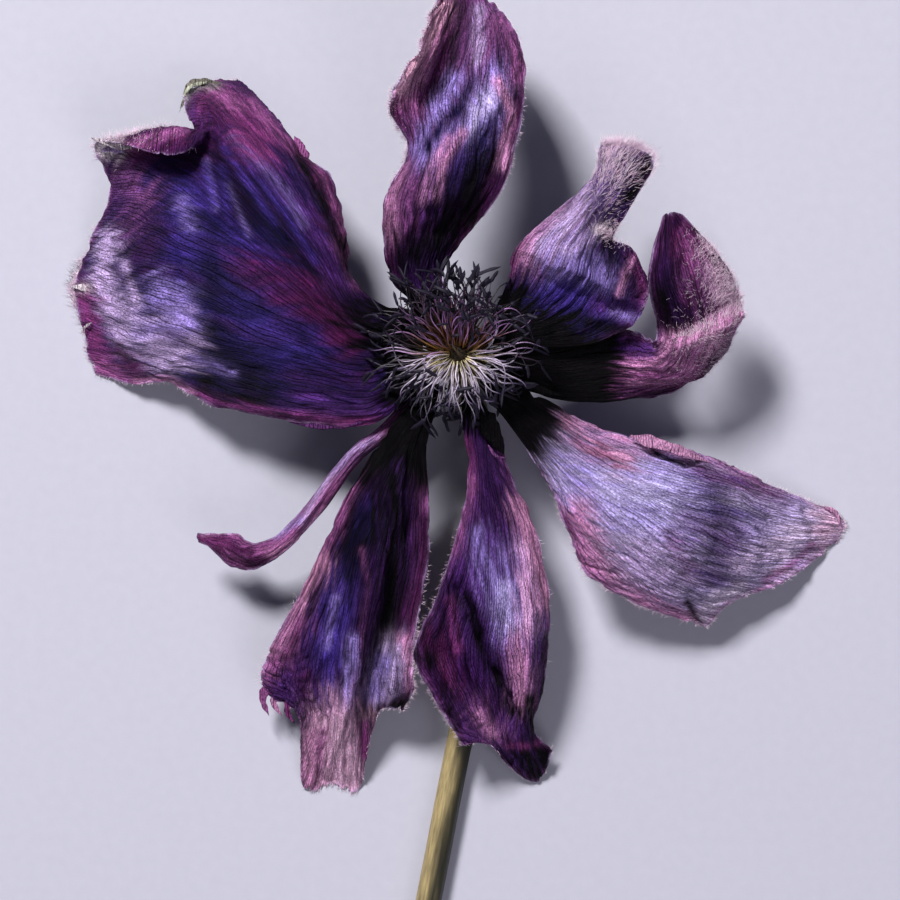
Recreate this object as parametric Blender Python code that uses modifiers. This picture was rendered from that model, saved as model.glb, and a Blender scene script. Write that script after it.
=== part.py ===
"""A wilted anemone flower, picked with a short stem and laid on its back.

Eight dried tepals stand round the receptacle, which grew in one with the stem. A ring of stamens sits on
the receptacle, with the boss of pistils in its middle. The stem leaves the receptacle's back, bends down
to the surface and lies along it. The row frame has its origin on the surface, under the middle of the
flower's box: +Z up, +Y from the stem's cut end towards the top tepal, +X to the right.
Lengths are in millimetres until a mesh is made, and places are measured from the hub, the flower's axis.
"""

import math
import random

import bmesh
import bpy
import numpy as np
from mathutils import Matrix

MM = 0.001  # metres in a millimetre

HUB_X, HUB_Y = -0.25, 17.9  # the hub's place in the row frame
BLADE = 0.64  # a tepal's thickness
WIDE_PLEAT = 4.0  # pleats narrower than this are shallower for their width too
GAP = 0.3  # between pieces that touch

# The receptacle is a low button on the stem's top
RECEPTACLE_R = 3.2
RECEPTACLE_LOW, RECEPTACLE_TOP = 9.5, 12.0

STEM_R = 1.28  # across the corners of its round section
STEM_SIDES = 10
STEM_REST = STEM_R * math.cos(math.pi / STEM_SIDES)  # its middle's height where it lies on one flat
STEM_ROUTE = [  # the stem's middle line, from inside the receptacle to the cut end
    (0.0, 0.0, 10.6),
    (0.2, -0.5, 8.0),
    (0.9, -2.6, 5.0),
    (1.9, -6.6, 3.0),
    (2.8, -12.0, 2.0),
    (3.3, -18.5, 1.4),
    (3.2, -25.5, STEM_REST),
    (2.0, -32.0, STEM_REST),
    (0.3, -39.0, STEM_REST),
    (-2.8, -54.8, STEM_REST),
    (-6.2, -72.0, STEM_REST),
]

# Each tepal is a fan of lines from its claw at the hub to its far margin, in order from the left side to
# the right side as seen looking outwards. A point is x, y from the hub and the height over the surface.
# Cells are the sheet's divisions across and along it, and pleats are how many it has and how high each is
# for its width.
TEPALS = {
    "tepal_left": {
        "cells": (20, 14), "pleats": (5, 0.045),
        "lines": [
            [(-3.2, -1.6, 11.0), (-7.6, -6.9, 10.4), (-13.5, -7.4, 9.5), (-20.2, -6.4, 7.8),
             (-25.6, -5.0, 5.6), (-29.4, -2.9, 3.6), (-33.2, -3.1, 1.6), (-37.2, -2.0, 0.1)],
            [(-3.4, -0.95, 11.1), (-8.6, -4.9, 11.3), (-14.3, -4.4, 11.0), (-20.0, -3.2, 9.8),
             (-25.4, -1.8, 7.8), (-30.2, -0.5, 5.2), (-34.4, 0.4, 2.2), (-38.2, 1.6, 0.0)],
            [(-3.5, -0.3, 11.2), (-9.2, -2.6, 11.9), (-15.0, -1.4, 12.0), (-20.8, 0.2, 11.2),
             (-26.2, 2.0, 9.4), (-31.2, 3.4, 6.2), (-35.6, 4.8, 2.6), (-39.2, 6.8, 0.0)],
            [(-3.52, 0.2, 11.2), (-9.6, -0.4, 12.2), (-15.4, 2.2, 12.6), (-21.0, 4.6, 12.0),
             (-26.0, 7.2, 10.2), (-30.6, 9.2, 7.4), (-34.8, 10.4, 4.0), (-37.8, 11.0, 1.2)],
            [(-3.5, 0.55, 11.2), (-9.8, 1.0, 12.2), (-15.3, 5.4, 12.8), (-20.4, 9.2, 12.2),
             (-24.8, 12.2, 10.6), (-28.8, 14.2, 8.4), (-32.6, 15.6, 5.8), (-35.4, 16.2, 3.6)],
            [(-3.45, 0.85, 11.2), (-9.9, 1.9, 12.2), (-15.1, 6.8, 13.0), (-19.8, 11.4, 12.5),
             (-23.6, 14.8, 11.0), (-28.0, 18.4, 8.2), (-32.4, 21.0, 6.8), (-36.4, 21.3, 7.6)],
            [(-3.38, 1.15, 11.2), (-9.9, 2.6, 12.2), (-14.7, 8.2, 13.0), (-19.0, 13.2, 12.6),
             (-22.8, 17.0, 11.0), (-26.8, 20.4, 8.2), (-29.2, 22.6, 9.0), (-29.4, 21.0, 11.2)],
            [(-3.3, 1.4, 11.2), (-9.9, 3.2, 12.2), (-14.3, 9.2, 13.0), (-18.2, 14.4, 12.7),
             (-21.4, 18.4, 11.1), (-23.4, 20.8, 9.6), (-24.6, 22.1, 8.8), (-25.5, 23.0, 8.4)],
            [(-3.2, 1.65, 11.2), (-9.8, 3.8, 12.1), (-13.8, 10.2, 12.9), (-17.4, 15.8, 12.6),
             (-20.2, 20.2, 10.9), (-23.0, 23.4, 8.4), (-25.4, 25.6, 6.2), (-27.8, 25.8, 4.8)],
            [(-3.1, 1.9, 11.2), (-9.9, 4.5, 12.0), (-12.9, 11.2, 12.7), (-16.0, 17.0, 12.4),
             (-18.8, 21.4, 10.6), (-21.6, 24.8, 7.6), (-24.2, 27.4, 3.6), (-26.2, 27.8, 0.0)],
            [(-2.95, 2.2, 11.2), (-9.9, 5.3, 11.9), (-11.8, 11.8, 12.4), (-14.4, 17.4, 12.0),
             (-17.2, 21.6, 10.2), (-19.6, 24.5, 7.8), (-21.4, 26.5, 4.6), (-23.4, 28.2, 0.8)],
            [(-2.75, 2.5, 11.1), (-9.6, 6.2, 11.7), (-10.8, 12.0, 11.2), (-12.6, 17.6, 10.2),
             (-16.1, 20.8, 8.8), (-18.6, 23.7, 6.8), (-20.4, 26.0, 4.0), (-22.2, 28.0, 1.0)],
        ],
    },
    "tepal_top": {
        "cells": (12, 16), "pleats": (3, 0.05),
        "lines": [
            [(-1.6, 3.2, 10.8), (-6.3, 6.6, 11.6), (-7.4, 11.0, 13.6), (-7.2, 15.4, 15.8),
             (-5.0, 19.8, 17.4), (-6.6, 24.4, 20.2), (-4.0, 29.9, 18.8), (-2.2, 34.9, 13.6)],
            [(-1.3, 3.35, 10.9), (-5.4, 6.6, 11.9), (-5.8, 11.0, 14.2), (-5.2, 15.8, 16.8),
             (-3.8, 20.4, 18.0), (-4.3, 24.9, 17.8), (-2.4, 30.1, 16.2), (-1.1, 35.5, 11.6)],
            [(-0.9, 3.5, 11.0), (-4.4, 6.6, 12.1), (-4.0, 11.2, 14.6), (-2.8, 16.4, 17.8),
             (-2.2, 21.4, 17.8), (-2.2, 25.6, 15.8), (-0.8, 30.8, 14.0), (0.2, 36.2, 10.4)],
            [(-0.5, 3.55, 11.0), (-3.4, 6.7, 12.1), (-2.3, 11.4, 14.6), (-0.4, 16.8, 17.8),
             (0.2, 21.8, 18.4), (0.3, 26.2, 17.0), (1.0, 31.2, 15.0), (1.2, 36.2, 10.8)],
            [(-0.2, 3.55, 11.0), (-2.6, 6.9, 11.9), (-1.2, 11.4, 14.0), (1.6, 16.4, 16.6),
             (2.6, 21.6, 17.6), (2.9, 26.4, 18.0), (2.9, 31.4, 16.4), (2.2, 36.0, 11.2)],
            [(0.1, 3.5, 10.9), (-2.0, 7.1, 11.6), (0.0, 11.4, 13.4), (3.0, 15.8, 15.6),
             (4.5, 20.8, 16.2), (5.0, 26.4, 17.6), (4.7, 31.3, 16.0), (2.8, 35.3, 11.0)],
            [(0.4, 3.4, 10.8), (-1.5, 7.4, 11.4), (0.9, 11.4, 13.2), (4.0, 15.4, 15.8),
             (5.8, 20.4, 17.2), (6.6, 26.4, 16.4), (6.1, 31.2, 14.4), (3.5, 34.9, 10.4)],
        ],
    },
    "tepal_upper_right": {
        "cells": (12, 12), "pleats": (5, 0.05),
        "lines": [
            [(2.6, 2.4, 11.0), (4.7, 6.4, 12.2), (5.4, 9.6, 14.2), (7.2, 11.8, 14.8),
             (10.1, 14.3, 14.4), (13.2, 17.3, 13.8), (14.2, 20.4, 13.6)],
            [(2.8, 2.15, 11.0), (6.4, 5.8, 12.6), (8.2, 9.0, 14.8), (10.0, 11.6, 15.2),
             (12.2, 14.0, 14.6), (14.6, 17.1, 14.8), (16.2, 20.4, 13.8)],
            [(3.0, 1.9, 11.0), (8.0, 5.0, 12.3), (10.4, 8.0, 14.6), (12.0, 11.0, 15.0),
             (13.4, 13.5, 14.6), (15.7, 16.5, 15.2), (18.2, 20.0, 13.6)],
            [(3.15, 1.65, 11.0), (9.0, 4.3, 11.9), (11.6, 7.1, 13.9), (12.9, 10.4, 14.8),
             (13.9, 12.8, 14.6), (16.1, 15.7, 14.8), (19.4, 18.6, 13.2)],
            [(3.25, 1.4, 11.0), (9.8, 3.6, 11.6), (12.5, 6.2, 13.2), (13.6, 9.2, 14.2),
             (14.4, 11.3, 14.2), (15.4, 12.9, 14.0), (17.0, 14.1, 13.8)],
            [(3.35, 1.15, 11.0), (10.6, 2.8, 11.3), (13.4, 5.2, 12.5), (14.3, 7.5, 13.5),
             (14.8, 9.2, 13.7), (15.1, 10.3, 13.7), (15.4, 11.3, 13.7)],
            [(3.45, 0.9, 11.0), (11.4, 1.8, 11.1), (14.8, 3.8, 11.9), (15.9, 5.7, 12.6),
             (16.5, 7.4, 13.0), (16.9, 9.0, 13.2), (17.2, 10.3, 13.2)],
            [(3.5, 0.65, 11.0), (12.0, 0.6, 10.8), (16.1, 1.9, 11.3), (17.9, 3.2, 11.6),
             (18.7, 4.6, 11.8), (19.1, 6.0, 12.0), (18.8, 7.5, 12.2)],
        ],
    },
    "tepal_right": {
        "cells": (10, 18), "pleats": (3, 0.05),
        "lines": [
            [(3.5, 0.0, 10.7), (9.5, 0.2, 9.4), (14.8, 0.7, 9.2), (17.0, 0.4, 9.4), (18.6, 0.4, 10.2),
             (19.5, 1.0, 11.8), (19.8, 2.8, 11.8), (18.7, 7.4, 16.0), (20.2, 13.3, 15.8)],
            [(3.45, -0.4, 10.7), (9.8, -1.4, 9.0), (15.4, -0.9, 8.7), (18.4, -1.4, 8.9), (20.6, -1.0, 9.8),
             (21.9, 1.1, 12.4), (22.3, 3.0, 11.4), (20.7, 7.9, 15.0), (20.6, 13.6, 15.8)],
            [(3.4, -0.85, 10.7), (10.0, -2.8, 8.6), (16.0, -2.4, 8.0), (19.6, -2.6, 8.1), (22.6, -1.7, 9.2),
             (24.2, 1.5, 12.2), (24.5, 3.8, 11.2), (22.9, 8.6, 14.2), (21.1, 13.7, 15.7)],
            [(3.3, -1.3, 10.7), (10.0, -3.9, 8.2), (16.7, -3.8, 7.2), (20.9, -3.4, 7.2), (24.6, -1.8, 8.2),
             (26.4, 2.2, 11.4), (26.5, 4.8, 11.0), (24.9, 9.2, 13.4), (21.6, 13.7, 15.5)],
            [(3.2, -1.7, 10.6), (9.8, -4.7, 7.8), (17.2, -4.8, 6.4), (22.2, -3.8, 6.2), (26.4, -0.9, 7.2),
             (28.3, 3.2, 10.0), (28.2, 5.4, 10.4), (26.4, 9.0, 12.4), (22.2, 13.5, 15.2)],
        ],
    },
    "tepal_lower_right": {
        "cells": (12, 14), "pleats": (4, 0.05),
        "lines": [
            [(2.8, -2.2, 10.8), (8.6, -4.6, 9.8), (13.4, -7.2, 9.2), (19.4, -9.0, 9.0),
             (25.6, -10.4, 7.4), (32.4, -13.6, 3.8), (38.8, -16.2, 0.1)],
            [(2.6, -2.5, 10.9), (8.2, -6.0, 10.2), (13.4, -9.6, 10.0), (19.2, -12.0, 10.4),
             (25.4, -14.0, 9.0), (32.0, -16.4, 4.8), (39.6, -17.9, 0.0)],
            [(2.4, -2.7, 10.9), (7.6, -7.0, 10.4), (12.8, -11.4, 10.4), (18.2, -14.8, 11.0),
             (24.0, -17.6, 9.6), (30.2, -19.8, 5.8), (37.6, -20.2, 0.4)],
            [(2.2, -2.9, 10.9), (6.8, -7.8, 10.4), (11.4, -12.8, 10.4), (16.0, -17.0, 11.0),
             (21.2, -20.4, 9.6), (26.6, -22.6, 6.4), (32.4, -23.5, 2.6)],
            [(2.0, -3.1, 10.8), (6.0, -8.2, 10.0), (10.0, -13.4, 9.6), (13.4, -18.0, 10.2),
             (17.6, -21.8, 9.0), (22.2, -24.6, 6.6), (27.6, -25.4, 3.8)],
            [(1.8, -3.2, 10.7), (5.6, -7.8, 9.5), (8.9, -12.8, 8.6), (10.9, -17.6, 8.4),
             (13.0, -22.4, 7.6), (18.2, -25.4, 5.6), (25.2, -27.9, 3.0)],
        ],
    },
    "tepal_bottom": {
        "cells": (10, 18), "pleats": (3, 0.04),
        "lines": [
            [(1.4, -3.4, 10.6), (4.4, -8.3, 10.0), (5.0, -11.8, 9.6), (7.6, -17.2, 8.8),
             (9.2, -23.8, 8.0), (9.2, -29.4, 6.6), (8.6, -34.6, 5.2), (7.8, -38.2, 3.8), (9.7, -40.4, 2.2)],
            [(1.1, -3.5, 10.7), (3.4, -8.4, 10.6), (3.9, -12.0, 10.6), (5.8, -17.4, 10.6),
             (6.8, -24.0, 10.4), (7.0, -29.6, 9.0), (6.8, -35.0, 6.8), (6.9, -39.0, 4.4), (8.2, -43.8, 0.2)],
            [(0.8, -3.55, 10.7), (2.5, -8.4, 10.8), (2.9, -12.2, 11.0), (3.6, -17.6, 11.0),
             (3.7, -24.2, 9.6), (3.2, -30.4, 6.6), (4.4, -35.8, 4.5), (5.0, -39.4, 4.0), (5.4, -42.2, 2.0)],
            [(0.5, -3.55, 10.7), (1.5, -8.4, 10.6), (1.9, -12.2, 10.6), (1.4, -17.4, 10.2),
             (0.4, -23.8, 9.0), (-0.8, -29.8, 8.2), (0.8, -35.0, 7.0), (2.0, -38.0, 6.2), (3.0, -39.6, 5.4)],
            [(0.2, -3.5, 10.6), (0.6, -8.2, 10.2), (1.0, -12.2, 9.8), (0.0, -17.6, 9.6), (-2.0, -24.2, 10.4),
             (-4.4, -30.2, 10.6), (-2.6, -34.4, 8.8), (-1.0, -37.2, 7.4), (0.5, -39.6, 6.4)],
        ],
    },
    "tepal_lower_left": {
        "cells": (14, 18), "pleats": (4, 0.05),
        "lines": [
            [(-1.2, -3.4, 10.6), (-3.0, -8.8, 10.0), (-2.9, -14.6, 9.2), (-2.9, -20.4, 8.6),
             (-4.0, -26.6, 8.8), (-4.6, -30.4, 9.0), (-4.4, -33.6, 7.8), (-5.6, -36.2, 5.8)],
            [(-1.5, -3.4, 10.7), (-4.0, -8.8, 10.4), (-4.6, -14.6, 9.6), (-5.2, -20.6, 8.6),
             (-6.2, -26.0, 7.8), (-7.0, -29.8, 7.8), (-7.7, -33.6, 6.0), (-8.2, -36.6, 4.6)],
            [(-1.7, -3.35, 10.7), (-4.5, -8.9, 10.8), (-6.0, -14.7, 10.9), (-7.2, -20.8, 10.4),
             (-8.5, -27.0, 8.8), (-9.3, -31.6, 6.8), (-9.8, -36.6, 4.0), (-10.1, -44.4, 0.2)],
            [(-1.9, -3.25, 10.7), (-5.1, -9.0, 10.9), (-7.4, -14.9, 10.8), (-9.2, -21.2, 10.0),
             (-10.6, -27.4, 8.6), (-11.3, -32.6, 7.2), (-11.8, -38.2, 4.2), (-12.8, -44.0, 0.0)],
            [(-2.1, -3.2, 10.7), (-5.6, -9.0, 10.7), (-8.8, -15.0, 10.2), (-11.2, -21.6, 9.2),
             (-12.9, -27.8, 7.8), (-13.6, -33.0, 6.2), (-14.2, -38.2, 3.8), (-15.8, -44.2, 0.2)],
            [(-2.4, -3.0, 10.7), (-6.4, -9.0, 10.5), (-10.4, -15.4, 9.8), (-13.2, -22.0, 8.8),
             (-15.6, -28.4, 7.2), (-16.4, -32.4, 6.0), (-16.6, -35.4, 4.8), (-16.6, -37.6, 3.6)],
            [(-2.7, -2.75, 10.6), (-7.5, -8.5, 10.2), (-11.9, -16.0, 9.2), (-15.0, -22.8, 8.0),
             (-18.4, -28.8, 6.2), (-19.8, -32.2, 5.0), (-19.9, -34.2, 3.8), (-18.9, -36.6, 2.4)],
        ],
    },
    "tepal_rolled": {
        "cells": (4, 20), "pleats": (1, 0.0),
        "lines": [
            [(-2.75, -2.55, 9.9), (-6.9, -8.4, 8.2), (-9.7, -10.8, 8.0), (-13.8, -16.3, 7.4),
             (-17.6, -20.2, 6.6), (-20.4, -21.8, 5.8), (-23.0, -21.6, 5.4), (-24.8, -19.9, 5.6),
             (-26.2, -19.1, 5.8)],
            [(-3.0, -2.25, 9.9), (-7.3, -7.9, 8.6), (-10.2, -10.2, 8.5), (-14.4, -15.6, 8.0),
             (-17.9, -19.3, 7.2), (-20.5, -20.5, 6.6), (-22.7, -19.9, 6.6), (-24.6, -19.1, 6.2),
             (-26.4, -18.6, 6.0)],
            [(-3.2, -1.95, 9.9), (-7.8, -7.4, 8.2), (-10.7, -9.6, 8.0), (-15.0, -14.9, 7.4),
             (-18.1, -18.2, 6.6), (-20.6, -19.2, 5.8), (-22.4, -18.3, 5.4), (-24.4, -18.3, 5.6),
             (-26.3, -18.1, 5.8)],
        ],
    },
}

# The stamens stand in rings on a low collar round the boss of pistils
COLLAR_IN, COLLAR_OUT = 1.95, 3.2
COLLAR_LOW, COLLAR_TOP = RECEPTACLE_TOP + GAP, 13.3
STAMEN_RINGS = [  # how many, root radius, reach, lift of the arch
    (15, 2.3, 6.4, 3.6),
    (19, 2.55, 7.6, 2.7),
    (22, 2.8, 8.6, 1.7),
]
STAMEN_SEED = 8
FAR_END, FAR_SWING = 14.0, 1.7  # the far ends' height over the surface, and how much it is more at the top
FILAMENT_R = 0.26
ANTHER_R = 0.42
STAMEN_PROFILE = [  # share of the stamen's length, and its radius there: filament, neck, anther, point
    (0.0, FILAMENT_R * 1.1),
    (0.25, FILAMENT_R),
    (0.52, FILAMENT_R * 0.9),
    (0.78, FILAMENT_R * 0.8),
    (0.9, ANTHER_R),
    (1.0, 0.12),
]

BOSS_R, BOSS_TOP = 1.6, 14.6
STYLE_COUNT = 17
STYLE_LONG = 1.3
STYLE_R = 0.28

# Colour as red, green, blue in linear light, then roughness
FINISHES = {
    "tepal": ((0.105, 0.035, 0.16), 0.75),
    "stamen": ((0.20, 0.16, 0.20), 0.7),
    "pistil": ((0.07, 0.055, 0.03), 0.8),
    "stem": ((0.28, 0.22, 0.09), 0.7),
}


def clear_scene():
    for thing in list(bpy.data.objects):
        bpy.data.objects.remove(thing)


def make_collection(name):
    made = bpy.data.collections.new(name)
    bpy.context.scene.collection.children.link(made)
    return made


def make_finish(name):
    colour, roughness = FINISHES[name]
    finish = bpy.data.materials.new(name)
    finish.use_nodes = True
    shader = finish.node_tree.nodes["Principled BSDF"]
    shader.inputs["Base Color"].default_value = (*colour, 1.0)
    shader.inputs["Roughness"].default_value = roughness
    return finish


def add_object(name, mesh, collection, finish=None):
    made = bpy.data.objects.new(name, mesh)
    collection.objects.link(made)
    if finish:
        mesh.materials.append(finish)
    return made


def through(points, t):
    """The smooth Catmull-Rom curve through the points along the first axis, at shares t of its length."""
    points = np.asarray(points, float)
    ends = 2 * points[0] - points[1], 2 * points[-1] - points[-2]
    padded = np.concatenate([[ends[0]], points, [ends[1]]])
    at = np.clip(np.asarray(t) * (len(points) - 1), 0, len(points) - 1 - 1e-9)
    cell = at.astype(int)
    f = (at - cell).reshape(-1, *[1] * (points.ndim - 1))
    before, start, end, after = (padded[cell + k] for k in range(4))
    return 0.5 * (
        2 * start
        + (end - before) * f
        + (2 * before - 5 * start + 4 * end - after) * f**2
        + (3 * start - before - 3 * end + after) * f**3
    )


def tepal_net(tepal):
    """Points of the blade's middle surface, across by along by 3: curves through the lines, both ways, with
    shallow pleats that fade where the blade is narrow. Where it meets the surface it lies flat on it."""
    across, along = (np.linspace(0, 1, cells + 1) for cells in tepal["cells"])
    net = through(np.stack([through(line, along) for line in tepal["lines"]]), across)
    count, height = tepal["pleats"]
    pleat = np.linalg.norm(net[-1] - net[0], axis=-1) / count
    rise = height * pleat * np.minimum(pleat / WIDE_PLEAT, 1)
    net[..., 2] += np.outer(np.sin(2 * math.pi * count * across), rise)
    net[..., 2] = np.maximum(net[..., 2], BLADE / 2)
    return net


def net_mesh(name, net):
    """An open mesh over the net, in triangles that lean the same way on both faces once it has a wall."""
    across, along = net.shape[:2]
    points = (net + (HUB_X, HUB_Y, 0)).reshape(-1, 3) * MM
    faces = []
    for i in range(across - 1):
        for j in range(along - 1):
            a, b = i * along + j, (i + 1) * along + j
            faces.append((a, b, b + 1))
            faces.append((a, b + 1, a + 1))
    mesh = bpy.data.meshes.new(name)
    mesh.from_pydata(points.tolist(), [], faces)
    return mesh


def make_tepal(name, collection, finish):
    """A dried tepal: the fan of lines as a sheet, with half its wall on each side."""
    mesh = net_mesh(name, tepal_net(TEPALS[name]))
    tepal = add_object(name, mesh, collection, finish)
    wall = tepal.modifiers.new("wall", "SOLIDIFY")
    wall.thickness = BLADE * MM
    wall.offset = 0
    return tepal


def turned_mesh(name, outline, steps=20):
    """A closed turned shape about the hub's axis. The outline runs down its outer side."""
    mesh = bpy.data.meshes.new(name)
    points = [(r * MM, 0, z * MM) for r, z in outline]
    mesh.from_pydata(points, [(k, k + 1) for k in range(len(points) - 1)], [])
    guide = bpy.data.objects.new(name, mesh)
    bpy.context.scene.collection.objects.link(guide)
    screw = guide.modifiers.new("turn", "SCREW")
    screw.steps = screw.render_steps = steps
    screw.use_merge_vertices = True
    screw.merge_threshold = 0.00001
    return as_mesh(guide)


def as_mesh(thing):
    """The object's finished shape as a mesh of its own, welded, with the object removed."""
    bpy.context.view_layer.update()
    graph = bpy.context.evaluated_depsgraph_get()
    mesh = bpy.data.meshes.new_from_object(thing.evaluated_get(graph))
    mesh.transform(thing.matrix_world)
    work = bmesh.new()
    work.from_mesh(mesh)
    bmesh.ops.remove_doubles(work, verts=work.verts, dist=0.000002)
    bmesh.ops.triangulate(work, faces=work.faces)
    work.to_mesh(mesh)
    work.free()
    mesh.materials.clear()
    bpy.data.objects.remove(thing)
    return mesh


def tube_mesh(name, route, radii, sides):
    """A round tube with closed ends along the route, a list of points from the hub."""
    curve = bpy.data.curves.new(name, "CURVE")
    curve.dimensions = "3D"
    curve.bevel_depth = 1.0 * MM
    curve.bevel_resolution = sides // 2 - 2
    curve.use_fill_caps = True
    curve.twist_mode = "Z_UP"
    spline = curve.splines.new("POLY")
    spline.points.add(len(route) - 1)
    for point, at, radius in zip(spline.points, route, radii):
        point.co = (at[0] * MM, at[1] * MM, at[2] * MM, 1)
        point.radius = radius
    guide = bpy.data.objects.new(name, curve)
    bpy.context.scene.collection.objects.link(guide)
    return as_mesh(guide)


def united(base, pieces, collection, name, finish):
    """The base mesh with all the pieces joined to it as one body, placed at the hub."""
    body = add_object(name, base, collection, finish)
    joined = make_collection(name + " pieces")
    for k, mesh in enumerate(pieces):
        add_object(f"{name} piece {k}", mesh, joined)
    union = body.modifiers.new("join", "BOOLEAN")
    union.operation = "UNION"
    union.operand_type = "COLLECTION"
    union.collection = joined
    union.solver = "MANIFOLD"
    bpy.context.view_layer.update()
    graph = bpy.context.evaluated_depsgraph_get()
    mesh = bpy.data.meshes.new_from_object(body.evaluated_get(graph))
    body.modifiers.clear()
    body.data = mesh
    for thing in list(joined.objects):
        bpy.data.objects.remove(thing)
    bpy.data.collections.remove(joined)
    mesh.transform(Matrix.Translation((HUB_X * MM, HUB_Y * MM, 0)))
    return body


def make_stem(collection, finish):
    """The stem and the receptacle on its top, which grew as one. The stem lies on one flat of its round."""
    share = np.linspace(0, 1, 30)
    route = through(STEM_ROUTE, share)
    route[:, 2] = np.maximum(route[:, 2], STEM_REST)
    swell = 1 + 0.45 * np.exp(-share / 0.03)  # it thickens into the receptacle
    stem = tube_mesh("stem", route, STEM_R * swell, STEM_SIDES)
    button = [
        (0, RECEPTACLE_TOP),
        (RECEPTACLE_R - 0.7, RECEPTACLE_TOP),
        (RECEPTACLE_R, RECEPTACLE_TOP - 0.6),
        (RECEPTACLE_R, RECEPTACLE_LOW + 0.7),
        (RECEPTACLE_R - 1.2, RECEPTACLE_LOW),
        (0, RECEPTACLE_LOW),
    ]
    return united(turned_mesh("receptacle", button), [stem], collection, "stem", finish)


def stamen_route(angle, root_r, reach, lift, sway):
    """A stamen's line: out of the collar in an arch, swaying sideways towards its far end."""
    t = np.array([share for share, _ in STAMEN_PROFILE])
    r = root_r + (reach - root_r) * t
    side = sway * t**2
    root_z = COLLAR_TOP - 0.5
    far_z = FAR_END + FAR_SWING * math.sin(angle)
    x = r * math.cos(angle) - side * math.sin(angle)
    y = r * math.sin(angle) + side * math.cos(angle)
    z = root_z + (far_z - root_z) * t + lift * np.sin(math.pi * t**0.8)
    return np.stack([x, y, z], axis=1)


def make_stamens(collection, finish):
    """The collar and its rings of arched filaments, each of which swells into an anther at its far end."""
    draw = random.Random(STAMEN_SEED)
    radii = [radius for _, radius in STAMEN_PROFILE]
    pieces = []
    for count, root_r, reach, lift in STAMEN_RINGS:
        for k in range(count):
            angle = 2 * math.pi * (k + draw.uniform(-0.3, 0.3)) / count
            reached = reach * draw.uniform(0.88, 1.06)
            lifted = lift * draw.uniform(0.8, 1.15)
            route = stamen_route(angle, root_r, reached, lifted, draw.uniform(-1.6, 1.6))
            pieces.append(tube_mesh("stamen", route, radii, 4))
    collar = [
        (COLLAR_IN, COLLAR_TOP),
        (COLLAR_OUT - 0.4, COLLAR_TOP),
        (COLLAR_OUT, COLLAR_TOP - 0.5),
        (COLLAR_OUT, COLLAR_LOW),
        (COLLAR_IN, COLLAR_LOW),
        (COLLAR_IN, COLLAR_TOP),
    ]
    return united(turned_mesh("collar", collar), pieces, collection, "stamens", finish)


def make_pistils(collection, finish):
    """The boss of pistils: a small dome that short styles stand out of, spread by the golden angle."""
    high = BOSS_TOP - COLLAR_LOW
    turn = np.linspace(0, math.pi / 2, 8)
    dome = list(zip(BOSS_R * np.sin(turn), COLLAR_LOW + high * np.cos(turn)))
    dome.append((0, COLLAR_LOW))
    golden = math.pi * (3 - math.sqrt(5))
    styles = []
    for k in range(STYLE_COUNT):
        lean = math.acos(1 - 0.75 * (k + 0.5) / STYLE_COUNT)
        aside = math.sin(lean)
        out = np.array([aside * math.cos(k * golden), aside * math.sin(k * golden), math.cos(lean)])
        foot = np.array([0, 0, COLLAR_LOW]) + out * (BOSS_R, BOSS_R, high)
        route = [foot - out * 0.5, foot + out * (STYLE_LONG - 0.5)]
        if math.hypot(*route[1][:2]) > COLLAR_IN - GAP - STYLE_R:
            continue
        styles.append(tube_mesh("style", route, [STYLE_R, STYLE_R * 0.6], 4))
    return united(turned_mesh("boss", dome, steps=16), styles, collection, "pistils", finish)


def main():
    clear_scene()
    flower = make_collection("anemone flower")
    finishes = {name: make_finish(name) for name in FINISHES}
    for name in TEPALS:
        make_tepal(name, flower, finishes["tepal"])
    make_stem(flower, finishes["stem"])
    make_stamens(flower, finishes["stamen"])
    make_pistils(flower, finishes["pistil"])


main()
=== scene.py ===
"""The looks of a wilted anemone flower, which lies on its back on a pale floor and is seen from above.

Every piece is worked out in millimetres from the flower's hub, and takes its CAD solid's place in the frame.
"""

import bpy
import numpy as np
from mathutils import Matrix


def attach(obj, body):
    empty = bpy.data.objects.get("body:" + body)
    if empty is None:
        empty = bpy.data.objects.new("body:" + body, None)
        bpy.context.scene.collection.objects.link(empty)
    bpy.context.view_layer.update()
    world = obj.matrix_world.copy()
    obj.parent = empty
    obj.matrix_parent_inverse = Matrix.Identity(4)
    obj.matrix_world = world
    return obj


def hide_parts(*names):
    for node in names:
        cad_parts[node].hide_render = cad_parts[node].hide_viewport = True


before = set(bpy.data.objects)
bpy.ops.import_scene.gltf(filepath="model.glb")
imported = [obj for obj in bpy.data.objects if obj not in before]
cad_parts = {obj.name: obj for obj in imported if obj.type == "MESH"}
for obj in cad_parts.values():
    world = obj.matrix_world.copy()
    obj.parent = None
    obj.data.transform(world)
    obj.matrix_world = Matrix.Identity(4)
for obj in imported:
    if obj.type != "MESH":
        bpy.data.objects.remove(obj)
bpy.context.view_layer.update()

# Left tepal: the biggest one, a broad dried blade that fans out from its claw. Its top margin is folded
# over into a hairy flap, with a hooked lobe beside it. It grew out of the receptacle's side.

MM = 0.001
HUB = np.array([-0.25, 17.9, 0.0])  # the flower's axis in the row frame
BLADE = 0.16  # a dried tepal's thickness, at its middle
REST = 0.1  # how low a blade's middle lies where it touches the floor
PLEAT_STEP, RIB_STEP, FINE_RIB_STEP = 1.5, 0.62, 0.33  # from one pleat or rib to the next

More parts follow.
